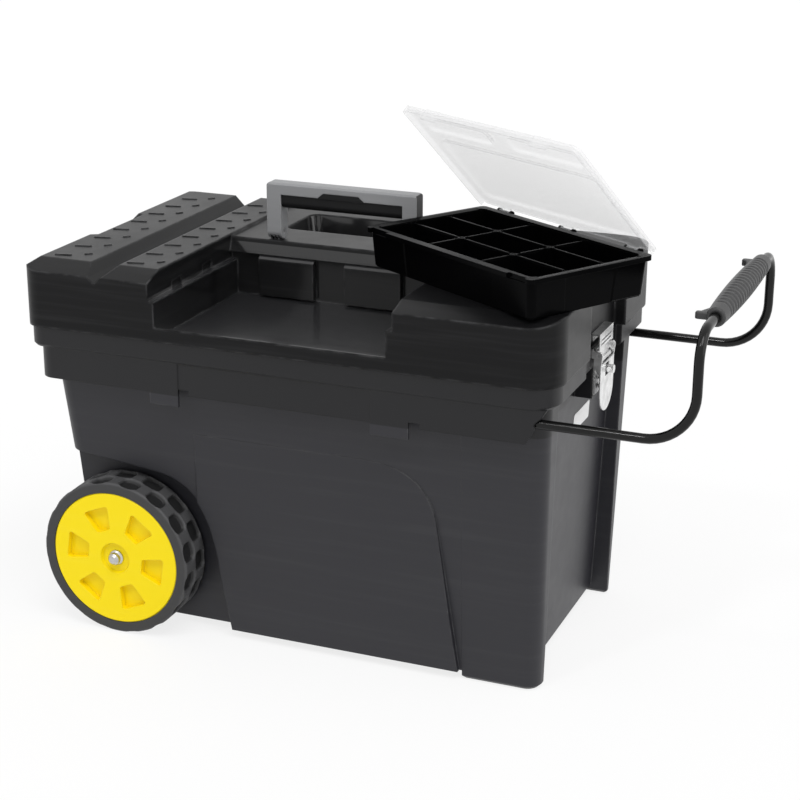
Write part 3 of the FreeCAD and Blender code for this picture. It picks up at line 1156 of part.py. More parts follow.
def latch_staple():
    """Padlock stud on the base, through the lever's square hole."""
    tip = LATCH_PLATE_X + STAPLE_LENGTH
    stud = rod(STAPLE_RADIUS, Vec(LATCH_PLATE_X, 0, STAPLE_Z), Vec(tip, 0, STAPLE_Z))
    eye_x = tip - STAPLE_EYE_MARGIN
    eye = rod(STAPLE_EYE_RADIUS, Vec(eye_x, -STAPLE_RADIUS - OVERCUT, STAPLE_Z),
              Vec(eye_x, STAPLE_RADIUS + OVERCUT, STAPLE_Z))
    return stud.cut(eye)


def latch_pivot_pins():
    """Stub pins of the lever, one through each ear and cheek."""
    pins = []
    for side in SIDES:
        start = Vec(LEVER_PIVOT_X, side * LATCH_EAR_INNER, LEVER_PIVOT_Z)
        end = Vec(LEVER_PIVOT_X, side * LATCH_HALF_WIDTH, LEVER_PIVOT_Z)
        pins.append(rod(LEVER_PIN_RADIUS, start, end))
    return Part.makeCompound(pins)


def latch_lever():
    """Pressed lever: a face plate with a round lobe and a square hole, and two cheeks round the pivots."""
    face_x = LEVER_PIVOT_X + LEVER_FACE_OFFSET
    front_x = face_x + LATCH_SHEET
    face_top = LEVER_PIVOT_Z - LEVER_TOP_DROP
    half = LATCH_HALF_WIDTH
    lobe_z = LEVER_PIVOT_Z - LEVER_LENGTH + half
    plate = box(face_x, front_x, -half, half, lobe_z, face_top)
    lobe = rod(half, Vec(face_x, 0, lobe_z), Vec(front_x, 0, lobe_z))
    cheeks = []
    holes = [box(face_x - OVERCUT, front_x + OVERCUT, -STAPLE_HOLE / 2, STAPLE_HOLE / 2,
                 STAPLE_Z - STAPLE_HOLE / 2, STAPLE_Z + STAPLE_HOLE / 2)]
    thickness = Vec(0, LATCH_SHEET, 0)
    for side in SIDES:
        y0 = min(side * half, side * (half - LATCH_SHEET))
        lever_pivot = Vec(LEVER_PIVOT_X, y0, LEVER_PIVOT_Z)
        link_pivot = Vec(LINK_PIVOT_X, y0, LINK_PIVOT_Z)
        cheeks.append(rod(LEVER_CHEEK_RADIUS, lever_pivot, lever_pivot + thickness))
        cheeks.append(along_y(
            [(LEVER_PIVOT_X - LEVER_CHEEK_RADIUS, LEVER_PIVOT_Z),
             (LINK_PIVOT_X - LINK_EYE_RADIUS, LINK_PIVOT_Z), (LINK_PIVOT_X - LINK_EYE_RADIUS, face_top),
             (face_x, face_top - LEVER_TOP_DROP), (front_x, face_top - LEVER_TOP_DROP),
             (front_x, face_top), (LEVER_PIVOT_X + LEVER_CHEEK_RADIUS, LEVER_PIVOT_Z)], y0, y0 + LATCH_SHEET))
        holes.append(rod(LEVER_PIN_RADIUS + RUNNING_FIT, lever_pivot, lever_pivot + thickness))
        holes.append(rod(LINK_PIN_RADIUS, link_pivot, link_pivot + thickness))
    return plate.fuse([lobe] + cheeks).cut(holes)


def latch_link_pin():
    half = LATCH_HALF_WIDTH
    return rod(LINK_PIN_RADIUS, Vec(LINK_PIVOT_X, -half, LINK_PIVOT_Z), Vec(LINK_PIVOT_X, half, LINK_PIVOT_Z))


def latch_link():
    """Louvred plate on a tongue that hangs on the lever, stepped out over the cheeks and hooked on top."""
    tongue = LINK_TONGUE_HALF_WIDTH
    half = LATCH_HALF_WIDTH
    start = Vec(LINK_PIVOT_X, -tongue, LINK_PIVOT_Z)
    end = Vec(LINK_PIVOT_X, tongue, LINK_PIVOT_Z)
    back = LINK_PIVOT_X - LINK_SHEET
    front = LINK_PIVOT_X + LINK_JOGGLE
    step_z = LINK_PIVOT_Z + LINK_STEP_HEIGHT
    stem = box(back, LINK_PIVOT_X, -tongue, tongue, LINK_PIVOT_Z, step_z + LINK_SHEET)
    step = box(back, front, -half, half, step_z, step_z + LINK_SHEET)
    plate = box(front - LINK_SHEET, front, -half, half, step_z, LINK_TOP_Z)
    hook_tip = RECESS_X + CATCH_THICKNESS + HOOK_GAP
    hook = box(hook_tip, front, -half, half, LINK_TOP_Z - LINK_SHEET, LINK_TOP_Z)
    cuts = [rod(LINK_PIN_RADIUS + RUNNING_FIT, start, end)]
    slot_half = half - LINK_SLOT_MARGIN
    for index in range(LINK_SLOTS):
        z = LINK_TOP_Z - (index + 2) * LINK_SLOT_PITCH
        cuts.append(box(front - LINK_SHEET - OVERCUT, front + OVERCUT, -slot_half, slot_half,
                        z, z + LINK_SLOT_HEIGHT))
    return stem.fuse([rod(LINK_EYE_RADIUS, start, end), step, plate, hook]).cut(cuts)


def organizer_placed(shape):
    """Moves a piece from the organizer's own frame, centred on its base, to its place by the carry handle."""
    placed = shape.copy()
    placed.translate(Vec(ORG_LENGTH / 2, 0, 0))
    placed.rotate(Vec(0, 0, 0), Z_AXIS, ORG_YAW)
    placed.translate(Vec(ORG_END_X, ORG_END_Y, ORG_BASE_Z))
    return placed


def centred_outline(length, width, radius, z):
    return rounded_outline(-length / 2, length / 2, -width / 2, width / 2, radius, z)


def divider_dip(cell_size):
    """Radius and axis height of the round cut that dips a divider between two walls."""
    reach = cell_size / 2 - ORG_DIP_MARGIN
    top = ORG_HEIGHT - ORG_DIVIDER_DROP
    radius = (reach ** 2 + ORG_DIP ** 2) / (2 * ORG_DIP)
    return radius, top - ORG_DIP + radius


def organizer_tray():
    """Open box with a turned-out rim and cells whose dividers stand below the rim and dip in the middle."""
    rim_z = ORG_HEIGHT - ORG_RIM_HEIGHT
    length = ORG_LENGTH - 2 * ORG_RIM_WIDTH
    width = ORG_WIDTH - 2 * ORG_RIM_WIDTH
    body = loft(centred_outline(length - 2 * ORG_TAPER, width - 2 * ORG_TAPER, ORG_CORNER, 0),
                centred_outline(length, width, ORG_CORNER, ORG_HEIGHT))
    rim = raised(centred_outline(ORG_LENGTH, ORG_WIDTH, ORG_CORNER, rim_z), ORG_RIM_HEIGHT)
    inner_length = length - 2 * ORG_TAPER - 2 * ORG_WALL
    inner_width = width - 2 * ORG_TAPER - 2 * ORG_WALL
    cell_length = (inner_length - (ORG_COLUMNS - 1) * ORG_DIVIDER) / ORG_COLUMNS
    cell_width = (inner_width - (ORG_ROWS - 1) * ORG_DIVIDER) / ORG_ROWS
    column_x = [(i - (ORG_COLUMNS - 1) / 2) * (cell_length + ORG_DIVIDER) for i in range(ORG_COLUMNS)]
    row_y = [(i - (ORG_ROWS - 1) / 2) * (cell_width + ORG_DIVIDER) for i in range(ORG_ROWS)]
    cuts = [raised(centred_outline(inner_length, inner_width, CELL_CORNER, ORG_HEIGHT - ORG_DIVIDER_DROP),
                   ORG_DIVIDER_DROP + OVERCUT)]
    cell_foot = centred_outline(cell_length - 2 * CELL_TAPER, cell_width - 2 * CELL_TAPER, CELL_CORNER,
                                ORG_WALL)
    cell_mouth = centred_outline(cell_length, cell_width, CELL_CORNER, ORG_HEIGHT + OVERCUT)
    for x in column_x:
        for y in row_y:
            cell = loft(cell_foot, cell_mouth)
            cell.translate(Vec(x, y, 0))
            cuts.append(cell)
    radius, axis_z = divider_dip(cell_length)
    half = inner_width / 2 - CELL_CORNER
    for x in column_x:
        cuts.append(rod(radius, Vec(x, -half, axis_z), Vec(x, half, axis_z)))
    radius, axis_z = divider_dip(cell_width)
    half = inner_length / 2 - CELL_CORNER
    for y in row_y:
        cuts.append(rod(radius, Vec(-half, y, axis_z), Vec(half, y, axis_z)))
    for side in SIDES:
        near = side * (ORG_LENGTH / 2 - ORG_RIM_BREAK_INSET)
        far = near - side * ORG_RIM_BREAK_LENGTH
        cuts.append(box(min(near, far), max(near, far), -ORG_WIDTH, -width / 2,
                        rim_z - OVERCUT, ORG_HEIGHT + OVERCUT))
    tray = body.fuse(rim).cut(cuts)
    ears = []
    inner = COVER_BARREL_LENGTH / 2 + SIDE_PLAY
    outer = inner + COVER_EAR_THICKNESS
    for x in COVER_HINGE_X:
        for side in SIDES:
            x0 = x + min(side * inner, side * outer)
            x1 = x0 + COVER_EAR_THICKNESS
            ears.append(rod(COVER_BARREL_RADIUS - SEAT_GAP, Vec(x0, COVER_HINGE_Y, COVER_HINGE_Z),
                            Vec(x1, COVER_HINGE_Y, COVER_HINGE_Z)))
            ears.append(box(x0, x1, ORG_WIDTH / 2 - OVERCUT, COVER_HINGE_Y, rim_z, COVER_HINGE_Z))
        ears.append(rod(COVER_PIN_RADIUS, Vec(x - outer, COVER_HINGE_Y, COVER_HINGE_Z),
                        Vec(x + outer, COVER_HINGE_Y, COVER_HINGE_Z)))
    return tray.fuse(ears)


def organizer_cover():
    """Clear cover: sheet with a turned-down edge, raised field, two raised bands, barrels and snap clips."""
    under = ORG_HEIGHT + COVER_GAP
    top = under + COVER_SHEET
    half = ORG_LENGTH / 2 + COVER_GAP + COVER_SHEET
    front = -ORG_WIDTH / 2 - COVER_GAP - COVER_SHEET
    back = ORG_WIDTH / 2
    corner = ORG_CORNER + COVER_SHEET
    sheet = raised(rounded_outline(-half, half, front, back, corner, under), COVER_SHEET)
    flange = raised(rounded_outline(-half, half, front, back, corner, top - COVER_FLANGE), COVER_FLANGE)
    flange_foot = top - COVER_FLANGE - OVERCUT
    flange_hole = raised(rounded_outline(-half + COVER_SHEET, half - COVER_SHEET, front + COVER_SHEET,
                                         back + ORG_WIDTH, ORG_CORNER, flange_foot), under - flange_foot)

    def crown(x0, x1, y0, y1):
        return loft(rounded_outline(x0, x1, y0, y1, ORG_CORNER, under),
                    rounded_outline(x0 + COVER_CROWN, x1 - COVER_CROWN, y0 + COVER_CROWN, y1 - COVER_CROWN,
                                    ORG_CORNER, top + COVER_CROWN))

    side_x = half - COVER_CROWN_INSET
    band_front = front + COVER_CROWN_INSET
    band_back = band_front + COVER_BAND_DEPTH
    crowns = [crown(-side_x, side_x, band_back + COVER_BAND_GAP, back - COVER_CROWN_INSET),
              crown(-side_x, -COVER_BAND_GAP, band_front, band_back),
              crown(COVER_BAND_GAP, side_x, band_front, band_back)]
    hollows = []
    for solid in crowns:
        hollow = solid.copy()
        hollow.translate(Vec(0, 0, -COVER_SHEET))
        hollows.append(hollow)
    cover = sheet.fuse([flange.cut(flange_hole)] + crowns).cut(hollows)
    added = []
    bores = []
    for x in COVER_HINGE_X:
        x0 = x - COVER_BARREL_LENGTH / 2
        x1 = x + COVER_BARREL_LENGTH / 2
        start = Vec(x0, COVER_HINGE_Y, COVER_HINGE_Z)
        end = Vec(x1, COVER_HINGE_Y, COVER_HINGE_Z)
        added.append(rod(COVER_BARREL_RADIUS, start, end))
        added.append(along_x([(back - COVER_SHEET, under), (COVER_HINGE_Y, COVER_HINGE_Z + COVER_PIN_RADIUS),
                              (COVER_HINGE_Y + COVER_BARREL_RADIUS, COVER_HINGE_Z), (COVER_HINGE_Y, top),
                              (back - COVER_SHEET, top)], x0, x1))
        bores.append(rod(COVER_PIN_RADIUS + RUNNING_FIT, start, end))
    for x in COVER_CLIP_X:
        added.append(box(x - COVER_CLIP_LENGTH / 2, x + COVER_CLIP_LENGTH / 2, front - COVER_SHEET / 2,
                         front + COVER_SHEET, top - COVER_CLIP_DROP, top))
    cover = cover.fuse(added).cut(bores)
    cover.rotate(Vec(0, COVER_HINGE_Y, COVER_HINGE_Z), X_AXIS, -COVER_OPEN_ANGLE)
    return cover


def export(node, shape):
    """Writes one piece, moved so that X runs from the middle of the whole chest."""
    placed = shape.copy()
    placed.translate(Vec(-X_CENTRE, 0, 0))
    placed.exportStep("parts/" + node + ".step")


os.makedirs("parts", exist_ok=True)
FRONT_HUB, BACK_HUB = on_both_ends_of_axle(wheel_hub())
FRONT_TYRE, BACK_TYRE = on_both_ends_of_axle(wheel_tyre())
export("tub_shell", tub_shell())
export("axle", axle())
export("push_nuts", push_nuts())
export("axle_washers", axle_washers())
export("hinge_pins", hinge_pins())
export("tube_guides", tube_guides())
export("latch_base", latch_base())
export("latch_staple", latch_staple())
export("latch_pivot_pins", latch_pivot_pins())
export("wheel_hub_front", FRONT_HUB)
export("wheel_tyre_front", FRONT_TYRE)
export("wheel_hub_back", BACK_HUB)
export("wheel_tyre_back", BACK_TYRE)
export("lid_shell", lid_shell())
export("lid_catch", lid_catch())
export("carry_handle_pins", carry_handle_pins())
export("carry_handle_frame", carry_handle_frame())
export("carry_handle_insert", carry_handle_insert())
export("pull_tube", pull_tube())
export("tube_stops", tube_stops())
export("pull_grip", pull_grip())
export("latch_lever", latch_lever())
export("latch_link_pin", latch_link_pin())
export("latch_link", latch_link())
export("organizer_tray", organizer_placed(organizer_tray()))
export("organizer_cover", organizer_placed(organizer_cover()))
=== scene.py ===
import math

import bmesh
import bpy
from mathutils import Matrix, Vector


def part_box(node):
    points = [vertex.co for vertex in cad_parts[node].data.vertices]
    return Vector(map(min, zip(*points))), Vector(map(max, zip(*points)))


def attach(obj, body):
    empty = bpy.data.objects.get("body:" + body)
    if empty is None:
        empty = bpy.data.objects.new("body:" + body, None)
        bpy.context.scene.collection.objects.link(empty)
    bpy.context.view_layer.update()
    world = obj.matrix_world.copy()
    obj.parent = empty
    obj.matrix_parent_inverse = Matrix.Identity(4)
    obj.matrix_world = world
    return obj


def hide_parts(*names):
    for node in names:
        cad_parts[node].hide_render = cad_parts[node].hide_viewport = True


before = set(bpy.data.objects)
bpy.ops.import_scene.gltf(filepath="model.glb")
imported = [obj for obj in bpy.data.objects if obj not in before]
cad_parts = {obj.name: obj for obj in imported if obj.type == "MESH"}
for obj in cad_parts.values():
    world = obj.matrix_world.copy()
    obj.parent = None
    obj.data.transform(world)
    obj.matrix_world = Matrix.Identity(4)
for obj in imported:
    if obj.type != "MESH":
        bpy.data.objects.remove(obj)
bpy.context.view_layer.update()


# Tub: one injection moulding in black polypropylene, with a spark-eroded satin grain on its walls.
# The rim and the skirt under it are painted darker than the grained walls, from the skirt's foot up.
class Wire:
    """A shader socket that takes part in sums: an operator adds the Math node that it needs."""

    def __init__(self, tree, socket=None):
        self.tree = tree
        self.socket = socket

    def node(self, kind, settings, inputs, output=0):
        made = self.tree.nodes.new("ShaderNode" + kind)
        for name, value in settings.items():
            setattr(made, name, value)
        for name, value in inputs.items():
            self.plug(made.inputs[name], value)
        return Wire(self.tree, made.outputs[output])

    def plug(self, target, value):
        if isinstance(value, Wire):
            self.tree.links.new(value.socket, target)
        else:
            target.default_value = value

    def shade(self, name, value):
        self.plug(self.tree.nodes["Principled BSDF"].inputs[name], value)

    def place(self):
        return self.node("TexCoord", {}, {}, "Object")

    def outward(self):
        return self.node("NewGeometry", {}, {}, "Normal")

    def soft_outward(self, edge_radius):
        return self.node("Bevel", {"samples": 4}, {"Radius": edge_radius}, "Normal")

    def part(self, axis):
        return self.node("SeparateXYZ", {}, {0: self}, axis)

    def math(self, operation, first, second):
        return self.node("Math", {"operation": operation}, {0: first, 1: second})

    def mix(self, share, low, high):
        return self.node("Mix", {"data_type": "RGBA"}, {0: share, 6: low, 7: high}, 2)

    def rise(self, low, high):
        limits = {"Value": self, "From Min": low, "From Max": high}
        return self.node("MapRange", {"interpolation_type": "SMOOTHSTEP"}, limits)

    def __abs__(self):
        return self.math("ABSOLUTE", self, 0.0)

    def __add__(self, other):
        return self.math("ADD", self, other)

    def __radd__(self, other):
        return self.math("ADD", other, self)

    def __sub__(self, other):
        return self.math("SUBTRACT", self, other)

    def __rsub__(self, other):
        return self.math("SUBTRACT", other, self)

    def __mul__(self, other):
        return self.math("MULTIPLY", self, other)

    def __rmul__(self, other):
        return self.math("MULTIPLY", other, self)


def open_finish(name):
    material = bpy.data.materials.new(name)
    material.use_nodes = True
    return material, Wire(material.node_tree)


def noise(place, scale, detail):
    return place.node("TexNoise", {}, {"Vector": place, "Scale": scale, "Detail": detail}, "Fac")


def dress(material, *nodes):
    for node in nodes:
        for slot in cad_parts[node].material_slots:
            slot.material = material


def moulded_plastic(name, dark, worn_and_lit, roughness, edge_radius, grain_height, shine):
    """A moulded plastic: fine grain, faint flow marks, gloss that drifts, and edges in a second colour that
    stands partly for wear and partly for a painted highlight.
    """
    edge_limits = (0.01, 0.2)
    scuff_limits = (0.35, 0.7)
    streak_limits = (0.45, 0.8)
    streak_share = 0.1
    drift_depth = 0.16
    scuff_depth = 0.08
    grain_strength = 0.5
    flow_scale = (5.0, 5.0, 150.0)
    material, wire = open_finish(name)
    place = wire.place()
    soft = wire.soft_outward(edge_radius)
    facing = wire.node("VectorMath", {"operation": "DOT_PRODUCT"}, {0: soft, 1: wire.outward()}, "Value")
    edge = (1 - facing).rise(*edge_limits)
    drift = noise(place, scale=7.0, detail=3.0)
    scuffs = noise(place, scale=60.0, detail=5.0)
    grain = noise(place, scale=900.0, detail=2.0)
    streaks = noise(wire.node("Mapping", {}, {"Vector": place, "Scale": flow_scale}), scale=1.0, detail=4.0)
    # Edges and flow streaks take the second colour: on edges partly wear, partly a painted highlight.
    rubbed_and_lit = edge * scuffs.rise(*scuff_limits) + streak_share * streaks.rise(*streak_limits)
    wire.shade("Base Color", wire.mix(rubbed_and_lit, dark, worn_and_lit))
    wire.shade("Roughness", roughness + drift_depth * (drift - 0.5) + scuff_depth * (scuffs - 0.5))
    relief = {"Strength": grain_strength, "Distance": grain_height, "Height": grain, "Normal": soft}
    wire.shade("Normal", wire.node("Bump", {}, relief, "Normal"))
    wire.shade("Specular IOR Level", shine)
    return material


def repaint(material, share, colour):
    """Lays another colour over the finish where share is 1."""
    wire = Wire(material.node_tree)
    painted = material.node_tree.nodes["Principled BSDF"].inputs["Base Color"]
    under = Wire(material.node_tree, painted.links[0].from_socket)
    wire.shade("Base Color", wire.mix(share, under, colour))


wall_black = (0.018, 0.0178, 0.0222, 1.0)
rim_black = (0.0035, 0.0035, 0.0048, 1.0)
# Paler black for edges: partly wear, partly a painted highlight.
black_rubbed_lit = (0.075, 0.075, 0.078, 1.0)
skirt_foot = 0.288
skirt_fade = 0.001
tub_plastic = moulded_plastic("tub_plastic", wall_black, black_rubbed_lit, roughness=0.42, edge_radius=0.0025,
                              grain_height=0.0001, shine=0.4)
tub_up = Wire(tub_plastic.node_tree).place().part("Z")
# From the skirt's foot up, the tub is painted darker.
repaint(tub_plastic, tub_up.rise(skirt_foot - skirt_fade, skirt_foot), rim_black)
dress(tub_plastic, "tub_shell")


# Guides and stops of the pull handle and the axle's spacer washers: small black acetal mouldings.
# The guides are pressed into the tub's skirt, the stops onto the tube's ends, all of them out of sight.
guide_plastic = moulded_plastic("guide_plastic", rim_black, black_rubbed_lit, roughness=0.35,
                                edge_radius=0.0006, grain_height=0.00005, shine=0.4)
dress(guide_plastic, "tube_guides", "tube_stops", "axle_washers")


# Axle, its push nuts and the pins of the hinges: drawn steel rod and stamped caps, zinc plated.
# The push nuts are driven onto the axle's ends and hold the wheels on.
def plated_steel(name, colour, roughness, edge_radius):
    """Zinc plate: faint rolling lines along the piece and a patchy sheen."""
    dulled = 0.72
    patch_limits = (0.3, 0.75)
    patch_depth = 0.2
    line_depth = 0.1
    line_strength = 0.25
    line_height = 0.00005
    line_scale = (60.0, 900.0, 60.0)
    material, wire = open_finish(name)
    place = wire.place()
    lines = noise(wire.node("Mapping", {}, {"Vector": place, "Scale": line_scale}), scale=1.0, detail=3.0)
    patches = noise(place, scale=90.0, detail=3.0)
    dull = tuple(dulled * part for part in colour[:3]) + (1.0,)
    wire.shade("Base Color", wire.mix(patches.rise(*patch_limits), colour, dull))
    wire.shade("Roughness", roughness + patch_depth * (patches - 0.5) + line_depth * (lines - 0.5))
    relief = {"Strength": line_strength, "Distance": line_height, "Height": lines,
              "Normal": wire.soft_outward(edge_radius)}
    wire.shade("Normal", wire.node("Bump", {}, relief, "Normal"))
    wire.shade("Metallic", 1.0)
    return material


zinc_grey = (0.62, 0.62, 0.63, 1.0)
zinc = plated_steel("plated_steel", zinc_grey, roughness=0.32, edge_radius=0.0004)
dress(zinc, "axle", "hinge_pins", "carry_handle_pins", "latch_pivot_pins", "push_nuts")


# Wheels: a yellow polypropylene hub with six pockets, in a tyre of black vinyl moulded round its rim.
# The tread has two staggered rows of round pockets, which leave a wavy rib between them, and the hub
# turns freely on the axle.
hub_yellow = (0.94, 0.73, 0.003, 1.0)
# Paler yellow for edges: partly wear, partly a painted highlight.
hub_rubbed_lit = (0.95, 0.76, 0.06, 1.0)
hub_plastic = moulded_plastic("hub_plastic", hub_yellow, hub_rubbed_lit, roughness=0.38, edge_radius=0.0012,
                              grain_height=0.00005, shine=0.2)
tyre_black = (0.04, 0.04, 0.0415, 1.0)
# Paler tyre grey: dust on the crests, and on the edges partly a painted highlight.
tyre_dusty_lit = (0.085, 0.085, 0.088, 1.0)
pocket_painted_shade = (0.012, 0.012, 0.0125, 1.0)
tyre = moulded_plastic("tyre", tyre_black, tyre_dusty_lit, roughness=0.6, edge_radius=0.0015,
                       grain_height=0.0001, shine=0.4)
tyre_low, tyre_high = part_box("wheel_tyre_front")
tyre_radius = (tyre_high[2] - tyre_low[2]) / 2
tyre_width = tyre_high[1] - tyre_low[1]
seat_depth = 0.0122
bead_depth = 0.0169
tyre_seat = tyre_radius - seat_depth
tyre_bead = tyre_radius - bead_depth
tyre_lip = 0.01
tyre_shoulder = 0.003
tyre_crease = math.radians(50.0)
pockets_round = 16
pocket_depth = 0.0045
pocket_flank = 0.4
pocket_half_length = 0.0118
pocket_half_width = 0.0112
pocket_squareness = 3
pocket_edge = 0.0006
tread_rows = 40
tyre_turns = 24 * pockets_round
crest_foot = 0.001
crest_top = 0.0003
sidewall_limits = (0.001, 0.003)
dust_share = 0.6


def turns_round(count):
    return [2 * math.pi * step / count for step in range(count)]


def skin(shape, rings):
    """Joins each ring of points to the next, and the last to the first, with smooth faces."""
    for low, high in zip(rings, rings[1:] + rings[:1]):
        for step in range(len(low)):
            following = (step + 1) % len(low)
            shape.faces.new((low[step], low[following], high[following], high[step])).smooth = True
    bmesh.ops.recalc_face_normals(shape, faces=shape.faces)


def fit_piece(shape, name, material, place, body):
    """Makes a piece from a drawn shape, with its finish, in its place on the body that carries it."""
    mesh = bpy.data.meshes.new(name)
    shape.to_mesh(mesh)
    shape.free()
    mesh.materials.append(material)
    piece = bpy.data.objects.new(name, mesh)
    bpy.context.scene.collection.objects.link(piece)
    piece.matrix_world = place
    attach(piece, body)
    return piece


def pocket_share(across, turn):
    """How far the tread dips at a place: one on a pocket's floor, and zero on the rib and the lugs."""
    pitch = 2 * math.pi / pockets_round
    share = 0.0
    for middle, stagger in ((pocket_edge + pocket_half_width, 0.5),
                            (tyre_width - pocket_edge - pocket_half_width, 0.0)):
        from_middle = ((turn / pitch - stagger + 0.5) % 1.0 - 0.5) * pitch * tyre_radius
        reach = ((abs(across - middle) / pocket_half_width) ** pocket_squareness
                 + (abs(from_middle) / pocket_half_length) ** pocket_squareness)
        share = max(share, min(1.0, (1 - reach) / pocket_flank))
    return max(0.0, share)


shoulder_arc = [(tyre_radius - tyre_shoulder * (1 - math.sin(turn)), tyre_shoulder * (1 - math.cos(turn)))
                for turn in (math.radians(degrees) for degrees in range(0, 91, 15))]
tread_step = (tyre_width - 2 * tyre_shoulder) / tread_rows
tyre_outline = [(tyre_bead, tyre_width), (tyre_bead, tyre_lip), (tyre_seat, tyre_lip), (tyre_seat, 0.0)]
tyre_outline += shoulder_arc
tyre_outline += [(tyre_radius, tyre_shoulder + tread_step * row) for row in range(1, tread_rows)]
tyre_outline += [(radius, tyre_width - across) for radius, across in reversed(shoulder_arc)]
tyre_wire = Wire(tyre.node_tree)
tyre_place = tyre_wire.place()
from_axle = tyre_wire.node("VectorMath", {"operation": "MULTIPLY"}, {0: tyre_place, 1: (1.0, 0.0, 1.0)})
tyre_reach = tyre_wire.node("VectorMath", {"operation": "LENGTH"}, {0: from_axle}, "Value")
crest = tyre_reach.rise(tyre_radius - pocket_depth + crest_foot, tyre_radius - crest_top)
# Pocket floors are painted darker as shade in the recesses, and the crests paler with dust.
repaint(tyre, (1 - crest) * abs(tyre_place.part("Y")).rise(*sidewall_limits), pocket_painted_shade)
repaint(tyre, dust_share * crest, tyre_dusty_lit)
for side, outward in (("front", -1), ("back", 1)):
    dress(hub_plastic, "wheel_hub_" + side)
    dress(tyre, "wheel_tyre_" + side)
    tyre_shape = bmesh.new()
    tyre_rings = []
    for radius, across in tyre_outline:
        on_tread = max(0.0, 1 - (tyre_radius - radius) / tyre_shoulder)
        ring = []
        for turn in turns_round(tyre_turns):
            reach = radius - pocket_depth * on_tread * pocket_share(across, turn)
            point = (reach * math.cos(turn), -outward * across, reach * math.sin(turn))
            ring.append(tyre_shape.verts.new(point))
        tyre_rings.append(ring)
    skin(tyre_shape, tyre_rings)
    side_low, side_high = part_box("wheel_tyre_" + side)
    face_y = side_low[1] if outward < 0 else side_high[1]
    wheel_middle = ((side_low[0] + side_high[0]) / 2, face_y, (side_low[2] + side_high[2]) / 2)
    lugged_tyre = fit_piece(tyre_shape, "lugged_tyre_" + side, tyre, Matrix.Translation(wheel_middle),
                            "wheel_" + side)
    lugged_tyre.data.set_sharp_from_angle(angle=tyre_crease)
    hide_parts("wheel_tyre_" + side)


# Pull handle: one slim steel tube, bent cold into two legs and a bow, and painted gloss black.
# Its legs slide in the tub's skirt.
paint_black = (0.004, 0.004, 0.004, 1.0)
# Paler black for edges: partly wear, partly a painted highlight.
paint_rubbed_lit = (0.03, 0.03, 0.03, 1.0)
black_tube = moulded_plastic("black_tube", paint_black, paint_rubbed_lit, roughness=0.14, edge_radius=0.0005,
                             grain_height=0.00002, shine=0.26)
dress(black_tube, "pull_tube")
tube_low, tube_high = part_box("pull_tube")
bore_radius = 0.0065
tube_radius = 0.005
low_bend = 0.05
high_bend = 0.03
bend_steps = 12
leg_start = tube_low[0]
leg_y = tube_high[1] - bore_radius
leg_z = tube_low[2] + bore_radius
bow_x = tube_high[0] - bore_radius
bow_z = tube_high[2] - bore_radius
tube_corners = [Vector(corner) for corner in (
    (leg_start, -leg_y, leg_z), (bow_x, -leg_y, leg_z), (bow_x, -leg_y, bow_z),
    (bow_x, leg_y, bow_z), (bow_x, leg_y, leg_z), (leg_start, leg_y, leg_z))]
tube_path = tube_corners[:1]
for before, corner, after, bend in zip(tube_corners, tube_corners[1:], tube_corners[2:],
                                       (low_bend, high_bend, high_bend, low_bend)):
    inward = (corner - before).normalized()
    onward = (after - corner).normalized()
    for turn in (math.pi / 2 * step / bend_steps for step in range(bend_steps + 1)):
        tube_path.append(corner + bend * ((1 - math.cos(turn)) * onward - (1 - math.sin(turn)) * inward))
tube_path.append(tube_corners[-1])
tube_curve = bpy.data.curves.new("bent_tube", "CURVE")
tube_curve.dimensions = "3D"
tube_curve.bevel_depth = tube_radius
tube_curve.bevel_resolution = 8
tube_curve.use_fill_caps = True
tube_spline = tube_curve.splines.new("POLY")
tube_spline.points.add(len(tube_path) - 1)
for point, place in zip(tube_spline.points, tube_path):
    point.co = (*place, 1.0)
tube_curve.materials.append(black_tube)
bent_tube = bpy.data.objects.new("bent_tube", tube_curve)
bpy.context.scene.collection.objects.link(bent_tube)
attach(bent_tube, "pull_handle")
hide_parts("pull_tube")


# Grip: a swelling sleeve in dark grey polypropylene, pressed over the bow, with finger ribs on its
# outer side and a hooked wing at each end that rests on the lid when the handle is pushed in.
grip_grey = (0.036, 0.036, 0.037, 1.0)
# Paler grey for edges: partly wear, partly a painted highlight.
grip_rubbed_lit = (0.12, 0.12, 0.12, 1.0)
grip_plastic = moulded_plastic("grip_plastic", grip_grey, grip_rubbed_lit, roughness=0.45, edge_radius=0.0008,
                               grain_height=0.00006, shine=0.4)
dress(grip_plastic, "pull_grip")
grip_low, grip_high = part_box("pull_grip")
grip_inset = 0.015
grip_place = Matrix.Translation((grip_high[0] - grip_inset, 0.0, (grip_low[2] + grip_high[2]) / 2))
grip_start = -0.107
grip_end = 0.114
grip_rows = 221
grip_turns = 40
grip_end_radius = 0.0098
grip_swell = 0.003
grip_round = 0.002
rib_pitch = 0.0098
rib_depth = 0.002
rib_margin = 0.02
rib_side = math.radians(40.0)
rib_reach = 0.3


def grip_radius(along, turn):
    """Radius of the sleeve: it swells to the middle, rounds off at its ends and dips between the ribs."""
    share = 2 * (along - grip_start) / (grip_end - grip_start) - 1
    radius = grip_end_radius + grip_swell * (1 - share ** 2)
    from_end = min(along - grip_start, grip_end - along)
    if from_end < grip_round:
        radius -= grip_round - math.sqrt(grip_round ** 2 - (grip_round - from_end) ** 2)
    if from_end > rib_margin:
        between = max(0.0, math.cos(2 * math.pi * (along - grip_start - rib_margin) / rib_pitch))
        facing = min(1.0, max(0.0, (math.cos(turn - rib_side) - rib_reach) / rib_reach))
        radius -= rib_depth * math.sqrt(between) * facing
    return radius


